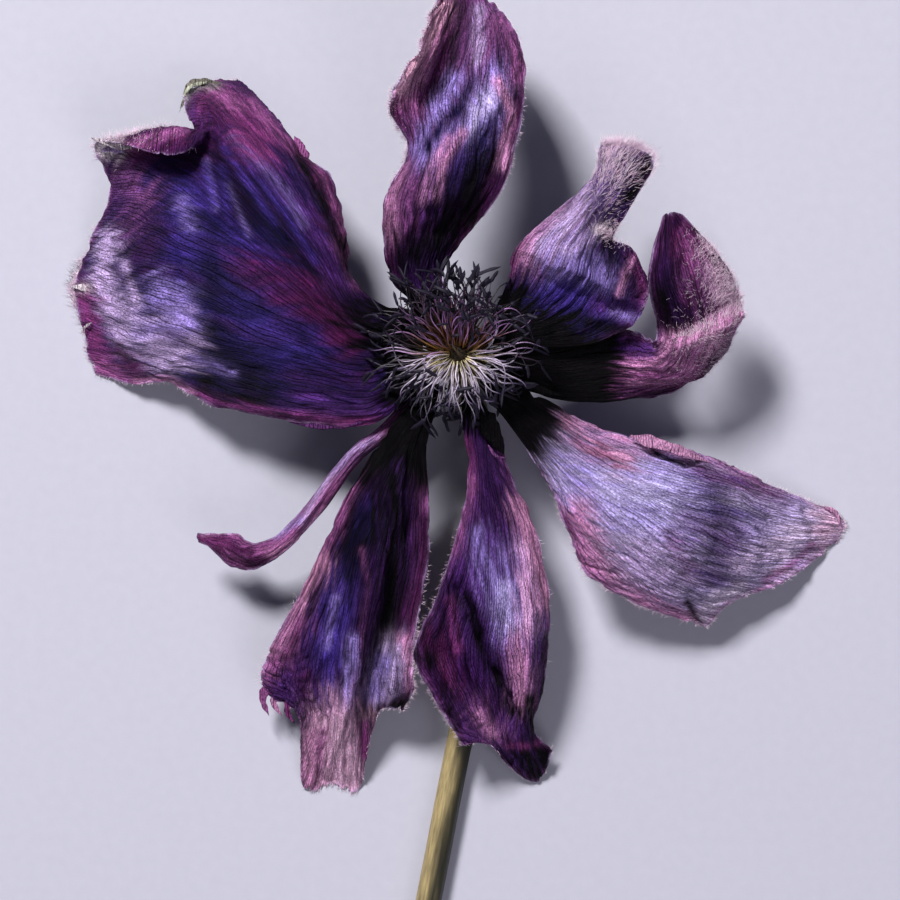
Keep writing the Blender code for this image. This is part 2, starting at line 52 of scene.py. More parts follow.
# The colours that dried anemone petals fade to: the violet dye keeps longest in the middle, turns red in
# the rims where it dried first, and bleaches to lavender, pink and cream where light got at it. Lavender,
# lilac and pink also paint highlights on lit crests and rims, and the near black paints shadow and shade
# in valleys, round the claws and where the flower lies in its own shadow.
SHADOW_BLACK = "#060309"
INDIGO = "#221760"
VIOLET = "#4d379f"
PURPLE = "#542c79"
PLUM = "#301345"
LAVENDER = "#a48de2"
LILAC = "#cbb0e6"
PINK = "#d692c6"
ROSE = "#a85f9e"
MAGENTA = "#883d7e"
BURGUNDY = "#431341"
MAROON = "#581b50"
MAUVE = "#7d4983"
CREAM = "#e2d5e0"

LEFT_LINES = [  # x, y from the hub and height, from the claw out, from the left side to the right one
    [(-3.2, -1.6, 11.0), (-7.6, -6.9, 10.4), (-13.5, -7.4, 9.5), (-20.2, -6.4, 7.8),
     (-25.6, -5.0, 5.6), (-29.4, -2.9, 3.6), (-33.2, -3.1, 1.6), (-37.2, -2.0, 0.1)],
    [(-3.4, -0.95, 11.1), (-8.6, -4.9, 11.3), (-14.3, -4.4, 11.0), (-20.0, -3.2, 9.8),
     (-25.4, -1.8, 7.8), (-30.2, -0.5, 5.2), (-34.4, 0.4, 2.2), (-38.2, 1.6, 0.0)],
    [(-3.5, -0.3, 11.2), (-9.2, -2.6, 11.9), (-15.0, -1.4, 12.0), (-20.8, 0.2, 11.2),
     (-26.2, 2.0, 9.4), (-31.2, 3.4, 6.2), (-35.6, 4.8, 2.6), (-39.2, 6.8, 0.0)],
    [(-3.52, 0.2, 11.2), (-9.6, -0.4, 12.2), (-15.4, 2.2, 12.6), (-21.0, 4.6, 12.0),
     (-26.0, 7.2, 10.2), (-30.6, 9.2, 7.4), (-34.8, 10.4, 4.0), (-37.8, 11.0, 1.2)],
    [(-3.5, 0.55, 11.2), (-9.8, 1.0, 12.2), (-15.3, 5.4, 12.8), (-20.4, 9.2, 12.2),
     (-24.8, 12.2, 10.6), (-28.8, 14.2, 8.4), (-32.6, 15.6, 5.8), (-35.4, 16.2, 3.6)],
    [(-3.45, 0.85, 11.2), (-9.9, 1.9, 12.2), (-15.1, 6.8, 13.0), (-19.8, 11.4, 12.5),
     (-23.6, 14.8, 11.0), (-28.0, 18.4, 8.2), (-32.4, 21.0, 6.8), (-36.4, 21.3, 7.6)],
    [(-3.38, 1.15, 11.2), (-9.9, 2.6, 12.2), (-14.7, 8.2, 13.0), (-19.0, 13.2, 12.6),
     (-22.8, 17.0, 11.0), (-26.8, 20.4, 8.2), (-29.2, 22.6, 9.0), (-29.8, 19.7, 11.0)],
    [(-3.3, 1.4, 11.2), (-9.9, 3.2, 12.2), (-14.3, 9.2, 13.0), (-18.2, 14.4, 12.7),
     (-21.4, 18.4, 11.1), (-23.4, 20.8, 9.6), (-24.6, 22.2, 9.0), (-26.3, 20.6, 10.8)],
    [(-3.2, 1.65, 11.2), (-9.8, 3.8, 12.1), (-13.8, 10.2, 12.9), (-17.4, 15.8, 12.6),
     (-20.2, 20.2, 10.9), (-23.0, 23.4, 8.4), (-25.4, 25.6, 6.2), (-27.8, 25.8, 4.8)],
    [(-3.1, 1.9, 11.2), (-9.9, 4.5, 12.0), (-12.9, 11.2, 12.7), (-16.0, 17.0, 12.4),
     (-18.8, 21.4, 10.6), (-21.6, 24.8, 7.6), (-24.2, 27.4, 3.6), (-26.2, 27.8, 0.0)],
    [(-2.95, 2.2, 11.2), (-9.9, 5.3, 11.9), (-11.8, 11.8, 12.4), (-14.4, 17.4, 12.0),
     (-17.2, 21.6, 10.2), (-19.6, 24.5, 7.8), (-21.4, 26.5, 4.6), (-23.4, 28.2, 0.8)],
    [(-2.75, 2.5, 11.1), (-9.6, 6.2, 11.7), (-10.8, 12.0, 11.2), (-12.6, 17.6, 10.2),
     (-16.1, 20.8, 8.8), (-18.6, 23.7, 6.8), (-20.4, 26.0, 4.0), (-22.2, 28.0, 1.0)],
]


def linear(colour):
    """An sRGB hex colour as linear red, green and blue: the standard's line near black, its power above."""
    part = np.array([int(colour[k:k + 2], 16) for k in (1, 3, 5)]) / 255
    return np.where(part <= 0.04045, part / 12.92, ((part + 0.055) / 1.055) ** 2.4)


def noise(x, y, seed):
    """Gradient noise, about -0.7 to 0.7 with one bump a unit: each whole-number corner has a random slope,
    and the four slopes' heights are blended by the fade 6f^5 - 15f^4 + 10f^3."""
    period = 128
    turn = np.random.default_rng(seed).uniform(0, 2 * np.pi, (period, period))
    lean = np.cos(turn), np.sin(turn)
    x, y = np.broadcast_arrays(x, y)
    cell = np.floor(x).astype(int), np.floor(y).astype(int)
    part = x - cell[0], y - cell[1]
    fade = [f**3 * (f * (6 * f - 15) + 10) for f in part]

    def corner(i, j):
        at = (cell[0] + i) % period, (cell[1] + j) % period
        return lean[0][at] * (part[0] - i) + lean[1][at] * (part[1] - j)

    near = corner(0, 0) + (corner(1, 0) - corner(0, 0)) * fade[0]
    far = corner(0, 1) + (corner(1, 1) - corner(0, 1)) * fade[0]
    return near + (far - near) * fade[1]


def fade_in(low, high, value):
    """0 below low, 1 above high and the smooth step 3s^2 - 2s^3 between them."""
    s = np.clip((value - low) / (high - low), 0, 1)
    return s * s * (3 - 2 * s)


def unit(v):
    """The vectors along the last axis, each divided by its length."""
    return v / np.maximum(np.linalg.norm(v, axis=-1, keepdims=True), 1e-9)


def blade_points(lines, u, v):
    """Points of a blade at the shares u across and v along it: the Catmull-Rom surface through its lines,
    a sum over the 4 by 4 nearest points, each times the two cubic weights of its place."""
    net = np.asarray(lines, float)
    for axis in (0, 1):
        net = np.moveaxis(net, axis, 0)
        net = np.concatenate([[2 * net[0] - net[1]], net, [2 * net[-1] - net[-2]]])
        net = np.moveaxis(net, 0, axis)
    places = []
    for share, padded in ((u, net.shape[0]), (v, net.shape[1])):
        at = np.clip(share * (padded - 3), 0, padded - 3 - 1e-9)
        cell = at.astype(int)
        f = at - cell
        weights = 2 * f**2 - f - f**3, 2 - 5 * f**2 + 3 * f**3, f + 4 * f**2 - 3 * f**3, f**3 - f**2
        places.append((cell, weights))
    (cell_u, weight_u), (cell_v, weight_v) = places
    total = 0
    for i in range(4):
        for j in range(4):
            total = total + 0.25 * (weight_u[i] * weight_v[j])[..., None] * net[cell_u + i, cell_v + j]
    return total


def slopes(points):
    """Unit normals of a grid of points: the steps across it and along it, crossed."""
    return unit(np.cross(np.gradient(points, axis=0), np.gradient(points, axis=1)))


def ribs(u, wide, along, spacing, seed):
    """Rounded ribs with sharp hollows between them, from the claw to the margin: the size of a sine of the
    place across, whose count doubles where the blade is twice as wide, the new ribs fading in between the
    old. They waver, and each one rises and fades along the blade. About -0.6 in a hollow, 0.4 on a crest."""
    octave = np.log2(np.maximum(wide, 1) / spacing)
    low = np.floor(octave)
    total = 0
    for step, share in ((0, 1 - (octave - low)), (1, octave - low)):
        count = 2.0 ** (low + step)
        place = u * count + 1.3 * noise(u * count / 6, along / 6, seed)
        place = place + 0.3 * noise(u * count, along / 2.5, seed + 1)
        strength = np.clip(0.75 + 1.1 * noise(u * count / 1.5 + 17, along / 5, seed + 2), 0.1, 1.6)
        total = total + share * strength * (np.abs(np.sin(np.pi * place)) - 0.62)
    return total


def away(at, path):
    """How far each point is, seen from above, from a line through the path's points: the least over its
    stretches of the distance to the nearest place on the stretch."""
    flat = at[..., :2]
    path = np.asarray(path, float).reshape(-1, 2)
    best = np.linalg.norm(flat - path[0], axis=-1)
    for start, end in zip(path[:-1], path[1:]):
        share = np.clip((flat - start) @ (end - start) / np.sum((end - start) ** 2), 0, 1)
        best = np.minimum(best, np.linalg.norm(flat - start - share[..., None] * (end - start), axis=-1))
    return best


def fresh_object(name, points, faces, colours=None, uv=None):
    """A smooth object of points, in millimetres from the hub, and faces that all have as many corners. A
    fourth number after red, green and blue goes to the wash's alpha."""
    used, corners = np.unique(faces, return_inverse=True)
    mesh = bpy.data.meshes.new(name)
    mesh.vertices.add(len(used))
    mesh.loops.add(faces.size)
    mesh.polygons.add(len(faces))
    mesh.vertices.foreach_set("co", ((points[used] + HUB) * MM).astype(np.float32).ravel())
    mesh.loops.foreach_set("vertex_index", corners.ravel().astype(np.int32))
    mesh.polygons.foreach_set("loop_start", np.arange(0, faces.size, faces.shape[1], dtype=np.int32))
    mesh.update(calc_edges=True)
    if colours is not None:
        rgba = np.concatenate([colours[used], np.ones((len(used), 1))], axis=1)[:, :4]
        layer = mesh.color_attributes.new("wash", "FLOAT_COLOR", "POINT")
        layer.data.foreach_set("color", rgba.astype(np.float32).ravel())
    if uv is not None:
        layer = mesh.uv_layers.new(name="blade")
        layer.data.foreach_set("uv", uv[faces.ravel()].astype(np.float32).ravel())
    mesh.shade_smooth()
    made = bpy.data.objects.new(name, mesh)
    bpy.context.scene.collection.objects.link(made)
    return made


def shell_faces(across, along):
    """Faces of a thin closed shell over a grid of cells: the upper ones, the same turned over, which use the
    second half of the vertices, and a wall along the four margins."""
    number = np.arange((across + 1) * (along + 1)).reshape(across + 1, along + 1)
    corners = number[:-1, :-1], number[1:, :-1], number[1:, 1:], number[:-1, 1:]
    upper = np.stack(corners, axis=-1).reshape(-1, 4)
    rim = np.concatenate([number[:, 0], number[-1, 1:], number[-2::-1, -1], number[0, -2:0:-1]])
    start, end = rim, np.roll(rim, -1)
    wall = np.stack([end, start, start + number.size, end + number.size], axis=-1)
    return np.concatenate([upper, upper[:, ::-1] + number.size, wall])


def stroke(at, wide, path, grain):
    """How much of a stroke along a path reaches each point, seen from above: 1 on it and a bell of that
    width away from it, with an outline that the grain makes uneven."""
    return np.exp(-np.maximum(away(at, path) / wide + grain, 0) ** 2)


def grow_tepal(name, lines, cells, seed, ground, washes, creases=(), rim=(MAGENTA, 1.4, 0.7), claw=(SHADOW_BLACK, 9.0),
               folds=(7, 0.3), pleat=0.14, rib=0.08, crinkle=0.13, flutter=0.4, bite=0.4):
    """One dried tepal as a thin closed shell that stands for the CAD blade of that name. Heights in
    millimetres are added along the normals of its smooth surface: creases, each (height, width, path) and
    sharp along its path, then folds, pleats, ribs, a crinkle and a fluttered margin. Its colour starts as
    the ground and takes each wash (colour, amount, width, path) in turn; washes of shadow black are
    painted shade, and pale ones are partly painted highlight. A painted highlight lines the margin, the
    claw is painted in shadow, and the hollows between the ribs get painted shade and the crests a painted
    highlight."""
    draw = np.random.default_rng(seed)
    u, v = np.meshgrid(*(np.linspace(0, 1, n + 1) for n in cells), indexing="ij")
    smooth = blade_points(lines, u, v)
    wide = np.linalg.norm(np.diff(smooth, axis=0), axis=-1).sum(axis=0)[None, :]
    long = np.linalg.norm(np.diff(smooth, axis=1), axis=-1).sum(axis=1)[:, None]

    # the margin is nibbled: the outermost shares are drawn in by an uneven part of a millimetre
    nibble = []
    for k, place in enumerate((v * long, v * long, u * wide.max())):
        still = np.full(place.shape, float(k))
        bites = noise(place / 2.3, still, seed + 2) + 0.5 * noise(place / 0.6, still, seed + 3) - 0.1
        nibble.append(bite * (1 + 1.5 * (k == 2)) * np.maximum(0, bites))
    left, right, far = nibble[0][:1] / wide, nibble[1][-1:] / wide, nibble[2][:, -1:] / long
    u = left + (1 - left - right) * u
    v = v * (1 - far)
    smooth = blade_points(lines, u, v)
    across = u * wide
    along = v * long
    margin = np.minimum(np.minimum(across, wide - across), (1 - v) * long)

    warp = 0.5 * noise(across / 3, along / 5, seed + 4) + 0.2 * noise(across / 1.1, along / 2, seed + 5)
    warped = u + warp / wide
    count, height = folds
    narrow = np.minimum(wide / 10, 1)
    fold = noise(warped * count, along / 17, seed + 6)
    fold = fold - np.abs(noise(warped * count * 1.9, along / 10, seed + 7))
    pleats = ribs(warped + 0.25 * noise(along / 5, across / 4, seed + 30) / wide, wide, along, PLEAT_STEP,
                  seed + 29)
    coarse = ribs(warped, wide, along, RIB_STEP, seed + 8)
    fine = ribs(warped, wide, along, FINE_RIB_STEP, seed + 9)
    crimp = noise(across / 0.9, along / 1.3, seed + 10)
    crimp = crimp - 0.8 * np.abs(noise(across / 1.7, along / 2.1, seed + 11))
    wave = noise((across + along) / 2.2, (across - along) / 8, seed + 12)
    lift = (
        0.8 * height * narrow * fold
        + pleat * narrow * pleats
        + rib * (coarse + 0.35 * fine)
        + crinkle * crimp * fade_in(4, 14, along)
        + flutter * wave * np.exp(-margin / 1.3) * fade_in(3, 10, along)
    )
    jitter = np.stack([noise(along / 2, across / 2, seed + k) for k in (13, 14)], axis=-1)
    for rise, reach, path in creases:
        lift = lift + rise * np.exp(-np.sqrt(away(smooth[..., :2] + 0.5 * jitter, path) ** 2 + 0.01) / reach)
    points = smooth + slopes(smooth) * lift[..., None]
    points[..., 2] = np.maximum(points[..., 2], REST)
    normals = slopes(points)

    colour = np.broadcast_to(linear(ground), points.shape).copy()

    def wash(hue, amount):
        nonlocal colour
        amount = np.clip(amount, 0, 1)[..., None]
        colour = colour * (1 - amount) + linear(hue) * amount

    mottle = noise(across / 1.5, along / 3.2, seed + 15) + 0.6 * noise(across / 0.5, along / 1.1, seed + 16)
    streak = noise(warped * count * 3.7, along / 9, seed + 17)
    fibres = noise(warped * wide / 0.24, along / 2.6, seed + 160)
    wash(PURPLE, 0.45 * fade_in(0.0, 0.45, noise(warped * count * 1.7, along / 10, seed + 18)))
    rim_hue, rim_wide, rim_much = rim
    wash(rim_hue, rim_much * np.exp(-(margin / rim_wide) ** 1.3) * (1 + 0.9 * mottle) * fade_in(2, 9, along))
    for k, (hue, much, reach, path) in enumerate(washes):
        # dye and bleach run along the veins, so a wash ends in streaks, and the washes of painted shade and
        # painted highlight end in streaks the same way
        grain = 1.1 * noise(warped * wide / 0.5, along / 9, seed + 20 + k) + 0.7 * fibres
        grain = (grain + 0.4 * noise(across / 1.4, along / 3, seed + 90 + k)) * min(1, 0.3 + 0.6 * reach)
        much = much * (1 + 0.4 * mottle + 0.5 * streak + 0.6 * fibres)
        wash(hue, much * stroke(points, reach, path, grain))
    # a painted highlight along the margin, where its edge and hairs catch the light
    wash(LILAC, 0.6 * np.exp(-(margin / 0.2) ** 2) * fade_in(8, 14, along) * (0.7 + 1.5 * mottle))
    # the claw is painted in shadow black, a painted shadow of the stamens that stand over it
    claw_shadow_hue, claw_long = claw
    wash(claw_shadow_hue, 1 - fade_in(claw_long * 0.7, claw_long, along + 0.5 * mottle + 2.5 * streak))

    # painted shade in the hollows between the ribs, less of it where the skin is bleached, and a painted
    # highlight on the crests
    level = pleats * narrow + 0.8 * coarse + 0.4 * fine
    pale = fade_in(0.15, 0.7, colour.mean(axis=-1))
    shade = 1 - (0.65 - 0.35 * pale) * fade_in(0.1, 0.9, -level) + 0.5 * fade_in(0.0, 0.6, level)
    uneven = (0.4 * mottle + 0.4 * streak + 0.5 * fibres) * (1 - 0.4 * pale)
    colour = colour * (shade * (1 + uneven))[..., None]

    thick = BLADE * (0.45 + 0.55 * fade_in(0, 1.5, margin))[..., None]
    both = np.concatenate([points + normals * thick / 2, points - normals * thick / 2]).reshape(-1, 3)
    both[:, 2] = np.maximum(both[:, 2], 0.01)
    spread = np.broadcast_to(wide / wide.max(), u.shape)[..., None]
    paint = np.concatenate([colour, spread], axis=-1).reshape(-1, 4)
    uv = np.stack([u * wide.max(), along], axis=-1).reshape(-1, 2)
    paint, uv = np.tile(paint, (2, 1)), np.tile(uv, (2, 1))
    made = fresh_object("dried_" + name, both, shell_faces(*cells), paint, uv)
    made.data.set_sharp_from_angle(angle=np.radians(70))
    made.data.materials.append(tepal_skin)
    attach(made, "root")
    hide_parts(name)
    return {"points": points, "normals": normals, "u": u, "along": along, "draw": draw}


def add_node(tree, kind, settings=None, links=None):
    """A node of that kind, with its settings (attributes, or values of its numbered or named sockets) and
    links, each from (node, output) to one of its sockets."""
    node = tree.nodes.new(kind)
    for key, value in (settings or {}).items():
        if isinstance(key, str) and hasattr(node, key):
            setattr(node, key, value)
        else:
            node.inputs[key].default_value = value
    for key, (source, output) in (links or {}).items():
        tree.links.new(source.outputs[output], node.inputs[key])
    return node


def fresh_material(name):
    """An empty node material and its tree with a Principled shader on the output."""
    material = bpy.data.materials.new(name)
    material.use_nodes = True
    return material, material.node_tree, material.node_tree.nodes["Principled BSDF"]


# Dried petal: a papery skin of collapsed cells over fine veins. Its waxy cuticle is gone, so it is matt
# with a faint silky gleam. Dark veins 0.33 mm apart run out from the claw, and every other one ends
# where the blade is half as wide. The skin between them is crimped like crepe and speckled a few cells wide.
VEINS_PER_MM = 3.0


def make_tepal_skin():
    """The wash times the shades of crimp, speckle and veins; the crimp's shade is painted light, darker in
    its hollows and lighter on its crests. The bump is the speckle plus 0.9 of the crimp less 0.9 of the
    veins, so that the veins are sunk and the skin between them stands up."""
    material, tree, shader = fresh_material("dried petal")
    wash = add_node(tree, "ShaderNodeVertexColor", {"layer_name": "wash"})
    place = add_node(tree, "ShaderNodeUVMap", {"uv_map": "blade"})  # in millimetres, across and along
    parts = add_node(tree, "ShaderNodeSeparateXYZ", {}, {0: (place, "UV")})
    noises = []
    for scale, settings in (  # bumps a millimetre across the blade and along it
            ((0.22, 0.07, 1), {"Detail": 1.0}), ((1.3, 0.4, 1), {"Detail": 1.0}),
            ((1.1, 0.16, 1), {"Detail": 1.5}), ((8.0, 3.2, 1), {"Roughness": 0.7}),
            ((2.1, 0.5, 1), {"noise_type": "RIDGED_MULTIFRACTAL", "Distortion": 0.3})):
        drawn = add_node(tree, "ShaderNodeMapping", {"Scale": scale}, {"Vector": (place, "UV")})
        noises.append(add_node(tree, "ShaderNodeTexNoise", {"Scale": 1.0, **settings},
                               {"Vector": (drawn, "Vector")}))
    wander, shiver, worn, speck, crimp = noises

    # veins: thin lines on the place across, which wanders, and twice as many where the blade is wide enough
    across = parts, "X"
    for drift, much in ((wander, 3.2), (shiver, 0.5)):
        across = add_node(tree, "ShaderNodeMath", {"operation": "MULTIPLY_ADD", 1: much},
                          {0: (drift, "Fac"), 2: across}), "Value"
    combs = []
    for share in (0.25, 0.5, 1.0):
        off = add_node(tree, "ShaderNodeMath", {"operation": "MULTIPLY", 1: VEINS_PER_MM * share},
                       {0: across})
        off = add_node(tree, "ShaderNodeMath", {"operation": "PINGPONG", 1: 0.5}, {0: (off, "Value")})
        combs.append(add_node(tree, "ShaderNodeMapRange", {"From Max": 0.14, "To Min": 1.0, "To Max": 0.0},
                              {"Value": (off, "Value")}))
    veins = combs[0]
    for lines, start, end in zip(combs[1:], (0.24, 0.5), (0.38, 0.75)):
        wider = add_node(tree, "ShaderNodeMapRange", {"From Min": start, "From Max": end},
                         {"Value": (wash, "Alpha")})
        veins = add_node(tree, "ShaderNodeMix", {},
                         {0: (wider, "Result"), 2: (veins, "Result"), 3: (lines, "Result")})

    # the veins' ink is worn off in places, and weaker on bleached skin
    bright = add_node(tree, "ShaderNodeRGBToBW", {}, {0: (wash, "Color")})
    ranges = []
    for source, *ends in (
            ((crimp, "Fac"), 0.15, 0.85, 0.58, 1.38), ((speck, "Fac"), 0.33, 0.67, 0.42, 1.75),
            ((worn, "Fac"), 0.33, 0.58, 0.15, 1.0), ((bright, "Val"), 0.1, 0.6, -0.72, -0.4),
            ((speck, "Fac"), 0.33, 0.67, 0.68, 0.5)):
        sockets = dict(zip(("From Min", "From Max", "To Min", "To Max"), ends))
        ranges.append((add_node(tree, "ShaderNodeMapRange", sockets, {"Value": source}), "Result"))
    # crest is painted light: the colour darkens in the crimp's hollows and lightens on its crests
    crest, cell, left_on, ink, rough = ranges
    veins = add_node(tree, "ShaderNodeMath", {"operation": "MULTIPLY"},
                     {0: (veins, "Result"), 1: left_on}), "Value"
    shade = add_node(tree, "ShaderNodeMath", {"operation": "MULTIPLY_ADD", 2: 1.12},
                     {0: veins, 1: ink}), "Value"
    for factor in (crest, cell):
        shade = add_node(tree, "ShaderNodeMath", {"operation": "MULTIPLY"}, {0: shade, 1: factor}), "Value"
    relief = speck, "Fac"
    for source, much in (((crimp, "Fac"), 0.9), (veins, -0.9)):
        relief = add_node(tree, "ShaderNodeMath", {"operation": "MULTIPLY_ADD", 1: much},
                          {0: source, 2: relief}), "Value"
    tint = add_node(tree, "ShaderNodeVectorMath", {"operation": "SCALE"},
                    {0: (wash, "Color"), "Scale": shade})
    bump = add_node(tree, "ShaderNodeBump", {"Strength": 1.0, "Distance": 0.0002}, {"Height": relief})
    tree.links.new(tint.outputs["Vector"], shader.inputs["Base Color"])
    tree.links.new(rough[0].outputs["Result"], shader.inputs["Roughness"])
    tree.links.new(bump.outputs["Normal"], shader.inputs["Normal"])
    shader.inputs["Specular IOR Level"].default_value = 0.1
    return material


tepal_skin = make_tepal_skin()

left = grow_tepal(
    "tepal_left", LEFT_LINES, (360, 116), 11, ground="#1f1750", folds=(15, 0.5), flutter=0.45,
    rim=(MAGENTA, 0.8, 0.6), claw=(SHADOW_BLACK, 5.0),
    # painted light: shadow-black washes are painted shade in the valleys and on the dark lower right, and the
    # lilac and lavender on the lower left and on the pleats' crests are bleach and painted highlight both
    washes=[
        ("#38297a", 0.65, 3.4, (-19.8, 2.7, -14.8, 0.2)), (PLUM, 0.6, 3.0, (-24.3, 20.2, -22.3, 15.2)),
        (VIOLET, 0.6, 2.2, (-26.8, 15.2, -27.3, 10.7)), (LAVENDER, 0.45, 0.9, (-27.6, 14.9, -26.6, 12.7)),
        (LAVENDER, 0.5, 0.35, (-25.2, 19.2, -24.2, 14.4)),
        (LAVENDER, 0.4, 0.35, (-23.0, 16.6, -20.8, 11.6)), (VIOLET, 0.7, 0.6, (-25.3, 18.7, -24.4, 14.7)),
        (VIOLET, 0.7, 0.6, (-23.6, 18.4, -23.0, 14.7)), (VIOLET, 0.5, 1.0, (-22.8, 12.2, -16.8, 7.2)),
        (SHADOW_BLACK, 0.55, 1.4, (-25.3, 22.4, -22.4, 16.6, -18.0, 11.8, -13.6, 7.4)),
        (SHADOW_BLACK, 0.5, 1.0, (-19.7, 15.6, -16.5, 12.2, -12.8, 7.2)),
        (PURPLE, 0.8, 1.4, (-25.3, 24.0, -21.8, 21.2, -18.0, 17.2, -14.6, 12.7, -11.6, 6.7)),
        (LAVENDER, 0.35, 0.5, (-22.6, 21.6, -19.6, 18.6, -17.0, 15.6, -15.4, 12.6)),
        (VIOLET, 0.6, 0.4, (-20.8, 18.4, -17.6, 14.6, -14.2, 9.0)),
        (VIOLET, 0.6, 0.4, (-23.4, 20.6, -20.8, 16.6, -18.2, 12.8)),
        (MAGENTA, 0.95, 2.0, (-25.0, 26.0, -22.2, 24.4, -19.6, 21.0)),
        (ROSE, 0.8, 0.9, (-24.4, 26.6, -22.2, 24.8)), (BURGUNDY, 0.6, 0.9, (-25.8, 25.4, -24.2, 23.4)),
        (ROSE, 0.8, 0.6, (-20.8, 25.2, -18.8, 22.8, -16.1, 20.0)),
        (ROSE, 0.6, 0.7, (-12.0, 11.2, -10.2, 6.8)),
        ("#54224e", 0.95, 1.5, (-15.3, 20.6, -12.8, 16.2, -10.6, 10.2)),
        (SHADOW_BLACK, 0.8, 0.6, (-15.9, 19.4, -13.8, 15.6, -11.5, 10.2, -10.8, 7.7)),
        (ROSE, 0.5, 0.3, (-15.5, 20.8, -13.3, 17.2, -11.3, 11.7)),
        (MAUVE, 0.75, 2.0, (-33.4, 18.0, -32.0, 15.4, -33.0, 13.0)),
        (PLUM, 0.8, 2.4, (-30.8, 12.2, -31.8, 9.0)),
        (SHADOW_BLACK, 0.65, 1.9, (-24.6, 3.0, -23.3, 0.0, -20.6, -2.0)), (SHADOW_BLACK, 0.5, 1.5, (-25.3, 10.2, -24.6, 6.2)),
        (SHADOW_BLACK, 0.8, 1.4, (-25.3, -2.8, -19.6, -4.4)),
        (PURPLE, 0.7, 1.3, (-15.8, -4.4, -10.8, -5.2, -7.0, -5.6)),
        (PLUM, 0.6, 1.6, (-15.8, -2.3, -8.8, -3.3)),
        (MAROON, 0.85, 1.7, (-20.4, 8.1, -16.5, 6.2, -12.7, 3.5, -10.2, 0.7)),
        (MAROON, 0.5, 2.2, (-15.8, 6.0, -10.8, 2.2)),
        (LILAC, 0.95, 1.2, (-35.5, 11.4, -36.0, 9.0, -36.4, 6.7)),
        (LILAC, 0.85, 1.6, (-35.4, 5.2, -33.2, 3.4)), (LILAC, 0.7, 1.0, (-32.8, 3.0, -27.6, 3.4)),
        (INDIGO, 0.6, 0.5, (-28.2, 10.2, -27.6, 5.2)), (LAVENDER, 0.85, 1.5, (-29.6, 6.2, -27.8, 5.0)),
        (LILAC, 0.95, 1.4, (-31.2, 0.0, -29.3, -1.0, -27.0, 0.2)),
        (LILAC, 0.5, 0.5, (-33.8, 9.0, -32.4, 5.2)),
        (LILAC, 0.85, 1.1, (-35.6, 7.0, -35.0, 3.2, -33.6, 0.8, -29.8, 1.0)),
        (LAVENDER, 0.6, 0.5, (-26.8, -0.4, -22.6, -2.0)), (LAVENDER, 0.6, 1.2, (-31.8, 2.7, -27.3, 3.0)),
        (MAGENTA, 0.95, 1.3, (-38.0, 6.0, -37.4, 2.2, -36.6, -1.3)),
        (ROSE, 0.8, 1.3, (-36.8, -1.6, -32.8, -2.2)),
        (PINK, 0.9, 0.4, (-32.8, -2.8, -29.3, -2.6, -26.8, -4.0)),
        (BURGUNDY, 0.8, 0.7, (-34.6, 0.7, -33.0, -1.4)),
        (MAGENTA, 0.75, 0.5, (-26.2, -4.4, -20.8, -5.9, -12.8, -6.8, -7.8, -7.1)),
        (MAROON, 0.9, 2.0, (-33.0, 21.0, -29.3, 21.2, -26.8, 21.2)),
        (ROSE, 0.8, 0.6, (-32.8, 20.6, -30.0, 21.6, -27.4, 22.2)),
        (PLUM, 0.9, 1.0, (-27.8, 19.2, -26.4, 20.2, -26.1, 21.4)),
        ("#fff0f8", 0.9, 0.9, (-36.0, 20.9, -34.6, 20.4)),
        ("#8c8888", 0.9, 0.6, (-28.0, 25.2, -27.4, 26.6, -26.2, 27.2, -24.6, 27.2)),
        (CREAM, 0.6, 0.5, (-38.8, 6.8, -37.4, 6.8)), (SHADOW_BLACK, 1.0, 2.2, (-10.6, 4.0, -9.0, 2.4, -6.6, 1.0)),
    ],
    creases=[
        (0.5, 0.9, (-26.2, 23.1, -22.8, 21.2, -19.0, 18.5, -15.6, 14.2, -12.8, 8.6)),
        (-0.5, 0.9, (-25.3, 21.7, -22.4, 16.6, -18.0, 11.8, -13.6, 7.4)),
        (-0.9, 0.7, (-15.9, 19.8, -13.6, 15.8, -11.5, 10.7, -10.6, 8.2)),
        (0.35, 0.6, (-21.8, 20.2, -18.6, 15.6, -15.3, 10.2)), (0.4, 0.5, (-25.4, 19.2, -24.4, 14.6)),
        (0.4, 0.5, (-23.6, 18.6, -22.8, 14.4)), (-0.35, 0.5, (-24.5, 18.6, -23.6, 14.2)),
        (0.3, 0.7, (-29.5, 10.4, -29.0, 6.0)), (0.3, 0.7, (-26.8, 9.7, -26.4, 4.2)),
        (-0.3, 0.8, (-28.0, 9.0, -27.6, 5.2)), (-0.35, 0.5, (-34.2, 13.7, -33.7, 9.2, -32.4, 5.2)),
        (0.4, 0.7, (-28.6, 14.7, -26.2, 11.7, -25.3, 9.0)),
        (0.35, 0.7, (-30.8, -2.0, -27.3, 0.0, -21.8, 0.2)),
        (-0.4, 0.7, (-26.2, -3.3, -22.8, -2.0, -16.8, -1.4)),
        (0.3, 0.7, (-20.4, 8.1, -15.8, 5.2, -10.8, 1.2)), (-0.4, 0.8, (-25.3, 5.2, -24.3, 2.2, -21.8, 0.2)),
        (0.25, 0.4, (-36.0, 4.0, -31.8, 3.0, -26.8, 2.6)),
        (0.25, 0.4, (-35.8, 1.8, -30.8, 1.4, -25.8, 1.2)),
    ],
)

